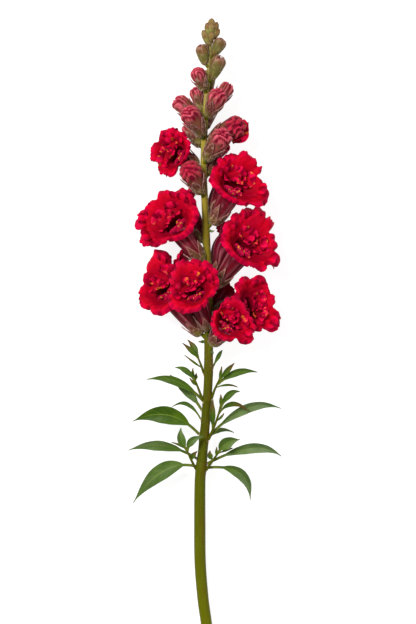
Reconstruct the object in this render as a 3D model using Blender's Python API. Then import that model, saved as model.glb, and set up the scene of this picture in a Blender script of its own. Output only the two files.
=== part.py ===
"""A cut snapdragon stem of the double, ruffled kind, laid on a flat surface.

The stem lies along Y with its tip at +Y. It rests on its cut end and on the florets of its
underside, whose lowest petals are pressed flat. Lengths are in millimetres until a mesh is made.
A bearing is counted in degrees from +X towards +Z round the stem, or towards +Y round a mouth.
"""

import math
import random

import bpy
from mathutils import Vector

MM = 0.001
UP = Vector((0, 0, 1))
ALONG = Vector((0, 1, 0))

# Driving dimensions
BLADE = 0.7  # thickness of a petal or a leaf
GAP = 0.35  # clearance between two pieces that touch in life
PEDICEL = 4.5  # from the stem to the foot of a calyx
PEDICEL_RADIUS = 1.3
SEPAL_TIP = 10.5  # along a floret, from the foot of its calyx
SEPAL_NOTCH = 5.5
TUBE_FOOT = 3.3  # radius of a corolla at the floor of its calyx
TUBE_THROAT = 10.2  # radius of a corolla at its throat
CUP_DEPTH = 7.5  # from the throat of a floret up to the plane of its rim
RUFFLE_RADIUS = 6.7
RUFFLE_HEIGHT = 5.5  # above the throat
PIT_DEPTH = 6.5  # of the dark slit beside the ruffle, below the throat
KEEL = 0.9  # height of the two ridges under a tube
PETIOLE = 1.5  # width of a leaf stalk
TWIG_RADIUS = 1.1  # of a side shoot
THINNING = 0.76  # share of a union's triangles kept, which drops its slivers

# How finely each shape is cut
STEM_SIDES = 12
RIM_SIDES = 30
REAR_RIM_SIDES = 20
CALYX_SIDES = 10
BUD_SIDES = 10
TWIG_SIDES = 5
PATH_STEPS = 24
LEAF_STATIONS = 7
SMALL_LEAF_STATIONS = 4
SHOOT_LEAF_STATIONS = 3

# The stem's axis: across, along, height, radius
STEM_AXIS = (
    (1.0, -231.5, 4.1, 4.25),
    (-2.3, -205.0, 6.2, 4.3),
    (-4.4, -178.0, 8.6, 4.35),
    (-4.7, -150.0, 11.2, 4.35),
    (-4.5, -115.0, 14.4, 4.15),
    (-3.0, -100.0, 15.8, 3.8),
    (-0.9, -77.0, 17.8, 3.55),
    (0.5, -60.0, 19.3, 3.4),
    (1.7, -40.0, 21.1, 3.4),
    (2.0, -14.0, 23.3, 3.35),
    (1.9, 10.0, 24.7, 3.15),
    (1.2, 35.0, 25.6, 3.0),
    (0.6, 60.0, 26.3, 2.8),
    (-0.7, 90.0, 26.8, 2.55),
    (-1.8, 117.0, 27.2, 2.4),
    (-1.3, 137.0, 27.5, 2.3),
    (-0.6, 158.0, 27.7, 2.1),
    (0.6, 176.0, 27.7, 1.8),
    (2.0, 192.0, 27.6, 1.45),
    (3.1, 209.0, 27.4, 1.2),
    (3.8, 222.0, 27.2, 1.0),
)

# Open florets: place along the stem, bearing round it, centre of the rim, the way the mouth
# looks, girth, and the rim's reach at eight bearings from +X towards +Y
OPEN_FLORETS = (
    (118, 165, (-27.5, 131, 38), (-0.36, 0.06, 0.93), 0.85, (14, 17, 17.5, 14, 14, 15.5, 18, 12.5)),
    (75, 25, (26, 111, 38), (0.28, 0.26, 0.92), 1.0, (17, 19.5, 20, 21, 21.5, 18, 18.5, 26.5)),
    (47, 142, (-28.5, 83, 37), (-0.3, 0.28, 0.91), 1.0, (21, 24, 21.5, 17.5, 23, 28.5, 18.5, 19.5)),
    (28.5, 20, (34.5, 65, 36), (0.3, 0.26, 0.92), 1.0, (17, 22, 25, 23, 21.5, 18, 19.5, 27)),
    (-8, 172, (-36, 32, 30), (-0.38, 0.22, 0.9), 0.95, (12, 17, 25, 13.5, 12, 19.5, 22.5, 18)),
    (-4, 99, (-10.5, 31.5, 49.5), (-0.1, 0.2, 0.97), 0.92, (19, 20.5, 19.5, 19.5, 16, 22, 20, 17)),
    (9, 2, (39, 16.5, 29), (0.42, 0.1, 0.9), 0.9, (13.5, 15, 22, 22, 12, 12, 18, 23)),
    (-16, 60, (20.5, 7, 44), (0.2, 0.05, 0.98), 0.9, (13, 12, 15.5, 13, 15.5, 18, 17.5, 22)),
)
REAR_FLORETS = (
    (112, 316, (10.5, 139, 7.6), (0.6, 0.6, -0.5), 0.64, (9, 9.5, 9.5, 9, 9, 9, 9, 9)),
    (83, 298, (13.5, 109, 10.4), (0.5, 0.6, -0.6), 0.72, (11, 11, 11.5, 11, 10.5, 11, 11, 11)),
    (62, 230, (-17.5, 93, 12.1), (-0.75, 0.55, -0.3), 0.8, (14, 14.5, 14, 13, 13, 14, 14, 14)),
    (36, 320, (17.5, 69, 11.6), (0.75, 0.5, -0.35), 0.78, (13, 13, 13.5, 13, 12.5, 13, 13, 13)),
    (4, 222, (-20, 48, 10.9), (-0.75, 0.5, -0.35), 0.76, (12, 13, 13, 12.5, 12, 12.5, 13, 12)),
    (-11, 292, (13.2, 30.5, 8.9), (0.6, 0.6, -0.5), 0.68, (11, 11, 11.5, 11, 11, 11, 11, 11)),
)
HALF_OPEN_FLORET = (137, 355, (23, 149.5, 29), (0.4, 0.1, 0.91), 0.66, (9, 10, 11, 9, 9.5, 9.5, 11, 10))

# Buds with colour: place along the stem, bearing round it, centre of the head, the way it
# looks, radius of the head
BUDS = (
    (98, 120, (-11.5, 116, 42), (-0.3, 0.35, 0.88), 8.0),
    (123, 65, (12, 141.5, 42), (0.3, 0.45, 0.84), 7.4),
    (141, 112, (-12, 158.5, 41), (-0.45, 0.5, 0.74), 7.0),
    (148, 200, (-19.5, 168, 21), (-0.8, 0.55, 0.15), 6.3),
    (156, 52, (9, 172.5, 37), (0.35, 0.75, 0.55), 6.6),
    (162, 335, (15.5, 179, 23), (0.5, 0.8, -0.1), 5.4),
    (160, 215, (-7.5, 176, 21), (-0.4, 0.9, -0.1), 5.0),
    (176, 125, (-6.0, 189.5, 34), (-0.3, 0.85, 0.4), 5.4),
    (184, 20, (9.3, 198.5, 31), (0.45, 0.8, 0.3), 4.6),
    (195, 165, (-2.8, 207.5, 29), (-0.3, 0.9, 0.2), 4.0),
    (202, 5, (10.3, 212.5, 28), (0.5, 0.8, 0.2), 3.8),
    (147, 275, (3, 168, 13.5), (0.15, 0.85, -0.5), 5.8),
    (134, 232, (-12, 150, 12), (-0.5, 0.75, -0.45), 6.2),
    (171, 280, (1.5, 188, 19), (0.1, 0.95, -0.3), 4.6),
)

# Unopened green buds at the tip: place along the stem, tip of the bud, radius
TIP_BUDS = (
    (209.5, (-2.5, 222.5, 29), 2.6),
    (215, (10.0, 223.5, 27), 2.7),
    (212.5, (4.5, 221.0, 31.5), 2.3),
    (211, (3.5, 223.0, 22.0), 2.7),
    (216, (0.5, 228.0, 28), 2.7),
    (217.5, (8.5, 228.5, 28), 2.8),
    (218.5, (4.5, 227.5, 31.5), 2.7),
    (219.5, (4.3, 231.5, 26.5), 3.0),
)

# Leaves on the stem: name, place along it, bearing round it, middle and tip of the midrib,
# widest breadth, roll about the midrib, share of the length that is stalk
LEAVES = (
    ("leaf_left_1", -81, 172, (-28.5, -66, 25), (-55.0, -71.0, 18), 13.5, 10, 0.17),
    ("leaf_left_2", -99, 178, (-33.0, -89, 19), (-58.5, -93.0, 14), 8.5, 25, 0.3),
    ("leaf_left_3", -105, 192, (-32.0, -108.5, 15), (-55.0, -132.7, 8), 12.5, -12, 0.18),
    ("leaf_left_4", -55, 188, (-23.0, -40.5, 27), (-44.5, -39.5, 24), 7.5, 15, 0.12),
    ("leaf_left_5", -63, 205, (-14.5, -47, 16), (-27.5, -36.0, 13), 8.0, 20, 0.14),
    ("leaf_left_6", -70, 200, (-14.0, -58, 15), (-25.5, -60.5, 9), 3.6, 30, 0.12),
    ("leaf_right_1", -82, 8, (31.0, -61, 22), (56.3, -61.5, 15), 7.5, -18, 0.25),
    ("leaf_right_2", -103, 2, (34.0, -91, 20), (56.6, -97.5, 14), 8.0, -14, 0.24),
    ("leaf_right_3", -106, 348, (25.5, -110, 15), (33.2, -130.8, 6), 8.5, -20, 0.22),
    ("leaf_right_4", -84, 345, (10.5, -77.5, 12), (21.0, -80.0, 6), 4.0, -35, 0.1),
    ("leaf_right_5", -30, 352, (9.5, -21.5, 19), (12.5, -17.5, 16), 3.4, -20, 0.1),
)

# Side shoots: name, the twig's points after its foot, place of the foot along the stem and
# bearing round it, and the leaves as foot, middle, tip, breadth and roll
SHOOTS = (
    (
        "shoot_left_1", -35, 180, ((-3.6, -29, 22.5), (-6.0, -23, 23)),
        (
            ((-2.9, -31, 22.3), (-9.0, -26.5, 23), (-16.5, -21.0, 22), 1.8, 20),
            ((-5.5, -24, 23), (-11.0, -17.5, 25), (-18.0, -12.0, 24), 4.0, 25),
            ((-5.8, -23, 23), (-9.0, -15.5, 21), (-14.0, -9.5, 18), 4.4, 0),
        ),
    ),
    (
        "shoot_left_2", -56, 150, ((-5.8, -46, 24.5), (-8.5, -39, 27)),
        (
            ((-8.0, -41, 26.5), (-15.0, -32.5, 31), (-23.3, -30.5, 29), 4.6, 18),
            ((-8.3, -39, 27), (-9.6, -34.5, 28), (-9.9, -30.5, 28), 2.8, 40),
            ((-8.0, -40, 26.5), (-7.6, -37.5, 25), (-7.3, -34.5, 24), 2.8, 0),
            ((-6.8, -44, 25), (-9.5, -41.5, 26.5), (-12.5, -38.0, 27), 2.2, 0),
        ),
    ),
    (
        "shoot_left_3", -107, 165, ((-11.5, -99, 21), (-14.5, -92, 24)),
        (
            ((-14.3, -92.5, 24), (-18.5, -84.0, 27), (-18.7, -75.5, 26), 6.2, 0),
            ((-14.0, -93, 24), (-10.5, -85.5, 27), (-2.0, -82.0, 27), 5.6, 0),
            ((-14.5, -92, 24), (-20.0, -88.5, 25), (-26.0, -86.5, 24), 1.8, 0),
            ((-10.9, -100, 20.5), (-9.6, -96.5, 21.5), (-6.6, -93.2, 22.5), 4.0, 0),
        ),
    ),
    (
        "shoot_right_1", -54, 12, ((6.5, -47, 22.5), (10.0, -39.5, 25)),
        (
            ((9.8, -40.5, 25), (16.0, -32.5, 28), (21.5, -27.0, 28), 4.2, -20),
            ((9.8, -39.5, 25), (11.0, -34.5, 27), (11.8, -29.5, 28), 2.2, 0),
            ((8.7, -43.0, 24), (23.5, -34.0, 24), (38.8, -34.2, 18), 5.6, -15),
            ((7.5, -45.5, 23.3), (16.5, -43.5, 23), (24.0, -45.5, 20), 1.8, -10),
        ),
    ),
    (
        "shoot_right_2", -85, 20, ((5.2, -77, 21), (8.6, -68, 24), (10.8, -60, 27)),
        (
            ((10.6, -61, 26.5), (17.5, -50.5, 30), (25.5, -48.5, 29), 5.2, -15),
            ((10.6, -60, 27), (11.2, -55, 28.5), (11.0, -50.5, 29), 2.6, 0),
            ((9.5, -65, 25), (20.0, -57.5, 28), (32.5, -63.5, 26), 4.2, -25),
            ((7.5, -71, 22.8), (11.5, -67.5, 24), (13.5, -64.5, 23.5), 1.8, 0),
            ((5.2, -77, 21), (4.9, -65.0, 25.5), (5.2, -54.0, 27), 4.4, 0),
        ),
    ),
    (
        "shoot_right_3", -108, 15, ((5.0, -100.5, 19), (9.5, -94, 22)),
        (
            ((9.3, -94.5, 22), (15.5, -87.0, 27), (25.5, -84.5, 27), 9.0, -10),
            ((7.5, -97, 21), (7.8, -93.5, 22.5), (8.1, -90.0, 23), 2.0, 0),
            ((9.0, -95, 21.8), (15.5, -92.5, 19), (20.5, -91.0, 16), 1.8, 0),
            ((5.3, -100, 19.5), (3.0, -96.5, 22.5), (3.2, -92.6, 23.0), 4.0, 0),
        ),
    ),
)

# Materials: colour and roughness
FINISHES = {
    "petal_red": ((0.58, 0.004, 0.016), 0.6),
    "bud_red": ((0.4, 0.03, 0.06), 0.65),
    "stem_green": ((0.16, 0.15, 0.012), 0.55),
    "leaf_green": ((0.075, 0.13, 0.02), 0.5),
}


def clear_scene():
    for obj in list(bpy.data.objects):
        bpy.data.objects.remove(obj, do_unlink=True)


def finish(name):
    """The material of this name, made at its first use."""
    if name in bpy.data.materials:
        return bpy.data.materials[name]
    colour, roughness = FINISHES[name]
    made = bpy.data.materials.new(name)
    made.use_nodes = True
    shader = made.node_tree.nodes["Principled BSDF"]
    shader.inputs["Base Color"].default_value = (*colour, 1)
    shader.inputs["Roughness"].default_value = roughness
    return made


def catmull(a, b, c, d, t):
    """A smooth value from b at t = 0 to c at t = 1, between a and d."""
    return b + 0.5 * t * (c - a + t * (2 * a - 5 * b + 4 * c - d + t * (3 * (b - c) + d - a)))


def smooth_list(values, place):
    """A smooth value at a place counted in steps along a list, held at its ends."""
    last = len(values) - 1
    place = min(max(place, 0), last)
    i = min(int(place), last - 1)
    near = [values[min(max(i + k, 0), last)] for k in (-1, 0, 1, 2)]
    return catmull(*near, place - i)


def smooth_ring(values, angle):
    """A smooth value at an angle through values spaced evenly round a full turn."""
    place = angle / math.tau % 1 * len(values)
    i = int(place)
    near = [values[(i + k) % len(values)] for k in (-1, 0, 1, 2)]
    return catmull(*near, place - i)


def angles(count):
    return [math.tau * i / count for i in range(count)]


def stem_at(along):
    """Centre and radius of the stem at this place along it."""
    spots = [row[1] for row in STEM_AXIS]
    i = sum(spot <= along for spot in spots) - 1
    i = min(max(i, 0), len(spots) - 2)
    place = i + (along - spots[i]) / (spots[i + 1] - spots[i])
    across, height, radius = (smooth_list([row[k] for row in STEM_AXIS], place) for k in (0, 2, 3))
    return Vector((across, along, height)), radius


def outward_at(bearing):
    """The way out of the stem at this bearing round it."""
    turn = math.radians(bearing)
    return Vector((math.cos(turn), 0, math.sin(turn)))


def bezier(handles, t):
    a, b, c, d = handles
    s = 1 - t
    return a * s**3 + b * 3 * s * s * t + c * 3 * s * t * t + d * t**3


class Path:
    """A smooth curve with a frame at each distance, whose side keeps to the side given at its end."""

    def __init__(self, start, start_way, end, end_way, side):
        reach = (end - start).length
        handles = (start, start + start_way * reach * 0.44, end - end_way * reach * 0.32, end)
        self.points = [bezier(handles, i / PATH_STEPS) for i in range(PATH_STEPS + 1)]
        self.distances = [0.0]
        for a, b in zip(self.points, self.points[1:]):
            self.distances.append(self.distances[-1] + (b - a).length)
        self.length = self.distances[-1]
        self.ways = [start_way]
        for before, after in zip(self.points, self.points[2:]):
            self.ways.append((after - before).normalized())
        self.ways.append(end_way)
        self.sides = []
        for way in reversed(self.ways):
            side = (side - way * side.dot(way)).normalized()
            self.sides.insert(0, side)

    def frame(self, distance):
        """Centre, side and the third axis at this distance from the start."""
        distance = min(max(distance, 0), self.length)
        i = max(k for k in range(PATH_STEPS) if self.distances[k] <= distance)
        t = (distance - self.distances[i]) / (self.distances[i + 1] - self.distances[i])
        centre = self.points[i].lerp(self.points[i + 1], t)
        way = self.ways[i].lerp(self.ways[i + 1], t).normalized()
        side = self.sides[i].lerp(self.sides[i + 1], t)
        side = (side - way * side.dot(way)).normalized()
        return centre, side, way.cross(side)

    def point(self, distance, angle, radius):
        centre, side, third = self.frame(distance)
        return centre + (side * math.cos(angle) + third * math.sin(angle)) * radius


def bridge(near, far, mirrored):
    """Triangles between two rings of vertex numbers, where one may have twice as many as the other."""
    faces = []
    if len(near) == len(far):
        for i, (a, d) in enumerate(zip(near, far)):
            b = near[(i + 1) % len(near)]
            c = far[(i + 1) % len(far)]
            faces += [(a, b, d), (b, c, d)] if mirrored(i) else [(a, b, c), (a, c, d)]
    elif len(near) < len(far):
        for i, a in enumerate(near):
            b = near[(i + 1) % len(near)]
            c, d, e = (far[(2 * i + k) % len(far)] for k in range(3))
            faces += [(a, b, d), (a, d, c), (b, e, d)]
    else:
        for i, a in enumerate(far):
            b = far[(i + 1) % len(far)]
            c, d, e = (near[(2 * i + k) % len(near)] for k in range(3))
            faces += [(c, d, a), (d, e, b), (d, b, a)]
    return faces


def ring_solid(name, rings, look, mirrored=lambda ring, side: False):
    """A closed solid through rings of points, with a fan on its first ring and on its last."""
    points = []
    numbers = []
    for ring in rings:
        numbers.append(list(range(len(points), len(points) + len(ring))))
        points += ring
    faces = []
    for k, (near, far) in enumerate(zip(numbers, numbers[1:])):
        faces += bridge(near, far, lambda side, ring=k: mirrored(ring, side))
    for ring, order in ((numbers[0], -1), (numbers[-1], 1)):
        points.append(sum((points[i] for i in ring), Vector()) / len(ring))
        for i, j in zip(ring, ring[1:] + ring[:1]):
            faces.append((i, j, len(points) - 1)[::order])
    mesh = bpy.data.meshes.new(name)
    mesh.from_pydata([point * MM for point in points], [], faces)
    return shown(name, mesh, look)


def shown(name, mesh, look):
    """An object of this mesh and finish, in the scene."""
    mesh.materials.clear()
    mesh.materials.append(finish(look))
    mesh.shade_smooth()
    mesh.set_sharp_from_angle(angle=math.radians(50))
    obj = bpy.data.objects.new(name, mesh)
    bpy.context.scene.collection.objects.link(obj)
    return obj


def fuse(name, pieces, look):
    """Joins solids into one by a Boolean union, and removes the pieces."""
    group = bpy.data.collections.new(name)
    bpy.context.scene.collection.children.link(group)
    for piece in pieces[1:]:
        bpy.context.scene.collection.objects.unlink(piece)
        group.objects.link(piece)
    union = pieces[0].modifiers.new("union", "BOOLEAN")
    union.operation = "UNION"
    union.operand_type = "COLLECTION"
    union.collection = group
    union.solver = "EXACT"
    graph = bpy.context.evaluated_depsgraph_get()
    joined = bpy.data.meshes.new_from_object(pieces[0].evaluated_get(graph))
    for piece in pieces:
        bpy.data.objects.remove(piece, do_unlink=True)
    bpy.data.collections.remove(group)
    fused = shown(name, joined, look)
    thin = fused.modifiers.new("thin", "DECIMATE")
    thin.ratio = THINNING
    return fused


def on_surface(point, out, least):
    """A petal point kept off the floor: what would go lower is laid along it, outwards."""
    if point.z >= least:
        return point
    laid = point + out * (least - point.z) * 0.85
    laid.z = least
    return laid


class Flower:
    """What a floret and a bud share: a foot on the stem, a path from it and a calyx."""

    def __init__(self, along, bearing, facing):
        self.outward = outward_at(bearing)
        self.facing = Vector(facing).normalized()
        centre, radius = stem_at(along)
        self.start = centre + self.outward * (radius - 0.8)

    def lay_path(self, end, side):
        lead = (self.outward * 0.75 + ALONG * 0.66).normalized()
        self.path = Path(self.start, lead, end, self.facing, side)
        self.pedicel = min(PEDICEL, self.path.length * 0.24)
        self.foot = self.pedicel + GAP

    def share(self, distance):
        """How far along the corolla a distance along the path is, from its foot, 0, to 1."""
        return min(max((distance - self.foot) / (self.path.length - self.foot), 0), 1)

    def sleeve(self, angle, share, swell, extra):
        """A point round the straight part of the corolla, from its foot, 0, to the sepal tips, 1."""
        ends = (self.foot, self.pedicel + self.sepal_tip)
        low, high = (self.path.point(d, angle, self.radius(d) * swell + extra) for d in ends)
        return low.lerp(high, share)


class Floret(Flower):
    """An open floret: its path from the stem to its throat, and the surface of its petals."""

    def __init__(self, row, seed):
        along, bearing, rim, facing, self.girth, self.reach = row
        super().__init__(along, bearing, facing)
        draw = random.Random(seed)
        self.waves = draw.choice((5, 6))
        self.phase = draw.uniform(0, math.tau)
        self.ruffle_phase = draw.uniform(0, math.tau)
        self.rim = Vector(rim)
        self.depth = CUP_DEPTH * self.girth
        self.across, self.over = self.rim_axes()
        throat = self.rim - self.facing * self.depth
        self.lay_path(throat, self.across.normalized())
        home = self.start - throat
        self.near = math.atan2(home.dot(self.over), home.dot(self.across))
        self.out = Vector((self.facing.x, self.facing.y, 0)).normalized()
        self.sepal_tip = SEPAL_TIP * self.girth
        self.sepal_notch = SEPAL_NOTCH * self.girth

    def rim_axes(self):
        """Two axes of the rim's plane, which from above are X and Y where the mouth looks up."""
        n = self.facing
        if n.z > 0.6:
            return Vector((1, 0, -n.x / n.z)), Vector((0, 1, -n.y / n.z))
        over = (ALONG - n * n.y).normalized()
        return over.cross(n), over

    def radius(self, distance):
        """Radius of the tube at a distance along the path."""
        share = self.share(distance)
        rest = TUBE_THROAT - TUBE_FOOT - 4.4
        return (TUBE_FOOT + 4.4 * share**0.6 + rest * share**3) * self.girth

    def nearness(self, angle):
        """1 on the side of the mouth next to the floret's own foot, 0 on the far half."""
        return max(0.0, math.cos(angle - self.near)) ** 2

    def petal(self, angle, share):
        """A point in the middle of the petals' thickness, from the throat, 0, to the margin, 1."""
        loose = 1 - 0.75 * self.nearness(angle)
        lobe = abs((angle * 5 / math.tau) % 1 - 0.5) * 2
        notch = 1 - 0.17 * max(0.0, lobe - 0.72) / 0.28 * loose
        teeth = 1 + 0.035 * math.cos(15 * angle) * loose
        reach = smooth_ring(self.reach, angle)
        throat = TUBE_THROAT * self.girth
        loose *= min(1.0, max(0.0, reach - throat) / 8)
        reach *= 1 + (notch * teeth - 1) * share**2
        radius = throat + (reach - throat) * share
        curl = 2.6 * loose * share**3
        wave = 1.7 * loose * share**2 * math.sin(self.waves * angle + self.phase)
        height = (wave - curl) * self.girth - self.depth * (1 - share) ** 2
        flat = self.across * math.cos(angle) + self.over * math.sin(angle)
        return on_surface(self.rim + flat * radius + self.facing * height, self.out, BLADE / 2)

    def petal_face(self, angle, share, face, step):
        """A point on the outer (-1) or the inner (+1) face of the petals, cut at this step."""
        low, high = max(share - 0.4, 0), min(share + 0.4, 1)
        up = self.petal(angle, high) - self.petal(angle, low)
        across = self.petal(angle + step, share) - self.petal(angle - step, share)
        return self.petal(angle, share) - across.cross(up).normalized() * face * BLADE / 2

    def tube(self, angle, share):
        """A point on the outside of the tube, with its two keels."""
        distance = self.foot + (self.path.length - self.foot) * share
        turn = math.degrees(angle - self.near)
        keels = sum(max(0.0, 1 - abs((turn - at + 180) % 360 - 180) / 24) for at in (-32, 32))
        keel = KEEL * self.girth * keels * min(1.0, max(0.0, share - 0.4) * 4)
        return on_surface(self.path.point(distance, angle, self.radius(distance) + keel), self.out, 0)

    def inner(self, angle, radius, height):
        """A point inside the mouth, at this height over the throat."""
        if height < 0:
            return self.path.point(self.path.length + height, angle, radius)
        flat = self.across * math.cos(angle) + self.over * math.sin(angle)
        return self.rim + flat * radius + self.facing * (height - self.depth)

    def ruffle(self, angle, inset):
        """A point on the edge of the inner ruffle, which stands away from the floret's foot."""
        wavy = 1 + 0.22 * math.sin(3 * angle + self.ruffle_phase)
        radius = RUFFLE_RADIUS * self.girth * wavy - inset
        height = RUFFLE_HEIGHT + 1.1 * math.sin(5 * angle + self.ruffle_phase)
        away = self.across * math.cos(self.near) + self.over * math.sin(self.near)
        return self.inner(angle, radius, height * self.girth) - away * 1.8 * self.girth


class Bud(Flower):
    """A closed or opening bud: a pouch on a path that ends at the middle of its head."""

    def __init__(self, row):
        along, bearing, head, facing, self.head_radius = row
        super().__init__(along, bearing, facing)
        self.head = Vector(head)
        side = ALONG.cross(self.facing).normalized()
        self.lay_path(self.head, side)
        self.sepal_tip = (self.path.length - self.pedicel) * 0.68
        self.sepal_notch = self.sepal_tip * 0.5

    def radius(self, distance):
        share = self.share(distance)
        return self.head_radius * (0.42 + 0.58 * math.sin(share * math.pi / 2) ** 1.4)

    def beyond(self, angle, radius, height):
        """A point past the middle of the head, as shares of its radius."""
        flat = self.path.point(self.path.length, angle, radius * self.head_radius)
        return flat + self.facing * height * self.head_radius


def corolla(name, floret, sides):
    """The red part of an open floret: tube, five frilled lobes and inner ruffle in one solid."""
    rim = angles(sides)
    ring = angles(sides // 2)
    girth = floret.girth
    rings = [[floret.sleeve(a, end, 1, 0) for a in ring] for end in (0, 1)]
    rings += [[floret.tube(a, share) for a in ring] for share in (0.62, 0.96)]
    rings += [[floret.petal_face(a, share, -1, rim[1]) for a in rim] for share in (0.5, 1)]
    rings += [[floret.petal_face(a, share, 1, rim[1]) for a in rim] for share in (1, 0.5)]
    rings.append([floret.inner(a, (TUBE_THROAT - 1.4) * girth, 0.8 * girth) for a in ring])
    slit = [-PIT_DEPTH * girth * (0.1 + 0.9 * floret.nearness(a)) for a in ring]
    rings.append([floret.inner(a, 5.8 * girth, depth) for a, depth in zip(ring, slit)])
    rings.append([floret.ruffle(a, 0) for a in ring])
    rings.append([floret.ruffle(a, BLADE + 0.2) for a in ring])
    rings.append([floret.inner(a, 2.2 * girth, -2.0 * girth) for a in ring])
    inside = range(6, 9)
    return ring_solid(name, rings, "petal_red", lambda k, side: k in inside)


def bud_corolla(name, bud):
    """The red part of a bud, with its petals folded over one another at the head."""
    ring = angles(BUD_SIDES)
    rings = [[bud.sleeve(a, end, 1, 0) for a in ring] for end in (0, 1)]
    rings.append([bud.beyond(a, 1, 0) for a in ring])
    folds = [0.1 * math.cos(5 * a) for a in ring]
    rings.append([bud.beyond(a, 0.84 + fold, 0.5 + fold) for a, fold in zip(ring, folds)])
    rings.append([bud.beyond(a, 0.5 - fold, 0.74 - fold) for a, fold in zip(ring, folds)])
    rings.append([bud.beyond(a, 0.28, 0.56) for a in ring[::2]])
    return ring_solid(name, rings, "bud_red")


def calyx(flower, swell):
    """A pedicel and its five sepals, hollow for the foot of the corolla."""
    path = flower.path
    pedicel = flower.pedicel
    thickness = BLADE if flower.sepal_tip > 8 else 0.6
    floor = flower.radius(flower.foot) * swell + GAP
    stalk = min(PEDICEL_RADIUS, floor * 0.6)
    notch = (flower.sepal_notch - GAP) / (flower.sepal_tip - GAP)
    coarse = angles(CALYX_SIDES // 2)
    fine = angles(CALYX_SIDES)
    edge = [(a, notch if i % 2 else 1, 0 if i % 2 else 0.4) for i, a in enumerate(fine)]
    rings = [
        [path.point(0, a, stalk) for a in coarse],
        [path.point(pedicel * 0.6, a, stalk) for a in coarse],
        [path.point(pedicel - 0.5, a, floor + thickness * 0.7) for a in fine],
        [flower.sleeve(a, end, swell, GAP + out + thickness) for a, end, out in edge],
        [flower.sleeve(a, end, swell, GAP + out) for a, end, out in edge],
        [path.point(pedicel, a, floor) for a in fine],
    ]
    return ring_solid("calyx", rings, "stem_green", lambda k, side: k == 4)


def stem_ring(along):
    centre, radius = stem_at(along)
    ahead, _ = stem_at(along + 1)
    way = (ahead - centre).normalized()
    side = way.cross(UP).normalized()
    third = side.cross(way)
    ring = []
    for a in angles(STEM_SIDES):
        point = centre + (side * math.cos(a) - third * math.sin(a)) * radius
        ring.append(Vector((point.x, point.y, max(point.z, 0.0))))
    return ring


def stem_axis():
    """The bare stem, with a small flat under its cut end."""
    return ring_solid("axis", [stem_ring(row[1]) for row in STEM_AXIS], "stem_green")


def tip_bud(along, tip, radius):
    """A small green bud at the tip, whole, with its foot in the stem."""
    start, _ = stem_at(along)
    end = Vector(tip)
    way = (end - start).normalized()
    path = Path(start, way, end, way, way.cross(UP).normalized())
    rings = []
    for share, width in ((0, 0.5), (0.45, 1), (0.8, 0.85), (1, 0.25)):
        rings.append([path.point(path.length * share, a, radius * width) for a in angles(TWIG_SIDES)])
    return ring_solid("tip bud", rings, "stem_green")


def bract(flower):
    """The small pointed leaf under a pedicel."""
    foot = flower.start - flower.outward * 0.4 - ALONG * 2.2
    tip = foot + flower.outward * 7.5 - ALONG * 0.6
    middle = (foot + tip) / 2 - ALONG
    return blade("bract", foot, middle, tip, 2.8, ALONG, 2, 2, 0.12)


def blade(name, foot, middle, tip, breadth, facing, stations, across, stalk, roll=0.0):
    """A leaf along its midrib: folded upwards a little, thick at the rib, its edges waved."""
    handle = middle * 2 - (foot + tip) / 2
    rings = []
    for k in range(stations + 1):
        t = k / stations
        rib = foot * (1 - t) ** 2 + handle * 2 * t * (1 - t) + tip * t * t
        way = ((handle - foot) * (1 - t) + (tip - handle) * t).normalized()
        side = way.cross(facing).normalized()
        up = side.cross(way)
        turn = math.radians(roll)
        side, up = side * math.cos(turn) + up * math.sin(turn), up * math.cos(turn) - side * math.sin(turn)
        rings.append(blade_ring(rib, side, up, leaf_width(t, breadth, stalk), across, t, stations))
    half = across
    return ring_solid(name, rings, "leaf_green", lambda k, i: half <= i < 2 * half - 1)


def leaf_width(t, breadth, stalk):
    """Half the breadth of a leaf at a share of its length."""
    u = max(0.0, (t - stalk) / (1 - stalk))
    full = math.sin(math.pi * u**0.8) ** 0.85 if 0 < u < 1 else 0.0
    stalk_half = min(PETIOLE, breadth * 0.4) / 2
    least = stalk_half if t < 0.8 else stalk_half * (1 - t) / 0.2 + 0.12
    return max(full * breadth / 2, least)


def blade_ring(rib, side, up, half, across, t, stations):
    """The section of a leaf: its upper points from one edge to the other, then its lower ones."""
    upper = []
    lower = []
    for k in range(across):
        v = 2 * k / (across - 1) - 1
        wave = 0.035 * half * math.sin(t * stations * 2.2 + 2 * v) * abs(v)
        lift = half * (0.24 * v * v + wave)
        middle = rib + side * half * v + up * lift
        thick = BLADE / 2 + 0.12 * (1 - abs(v))
        upper.append(middle + up * thick)
        lower.append(middle - up * thick)
    return upper + lower[::-1]


def stem_leaf(name, along, bearing, middle, tip, breadth, roll, stalk):
    """A leaf that starts just clear of the stem's side."""
    centre, radius = stem_at(along)
    foot = centre + outward_at(bearing) * (radius + GAP + 0.3)
    stations, across = (LEAF_STATIONS, 5) if breadth > 5 else (SMALL_LEAF_STATIONS, 3)
    return blade(name, foot, Vector(middle), Vector(tip), breadth, UP, stations, across, stalk, roll)


def twig(points, outward):
    """A side shoot's axis, whose foot faces the stem squarely."""
    ways = [outward] + [(b - a).normalized() for a, b in zip(points, points[1:])]
    rings = []
    for k, (point, way) in enumerate(zip(points, ways)):
        radius = TWIG_RADIUS * (1 - 0.4 * k / (len(points) - 1))
        side = way.cross(UP).normalized() if abs(way.z) < 0.9 else Vector((0, 1, 0))
        third = way.cross(side)
        ring = []
        for a in angles(TWIG_SIDES):
            ring.append(point + (side * math.cos(a) + third * math.sin(a)) * radius)
        rings.append(ring)
    return ring_solid("twig", rings, "leaf_green")


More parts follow.
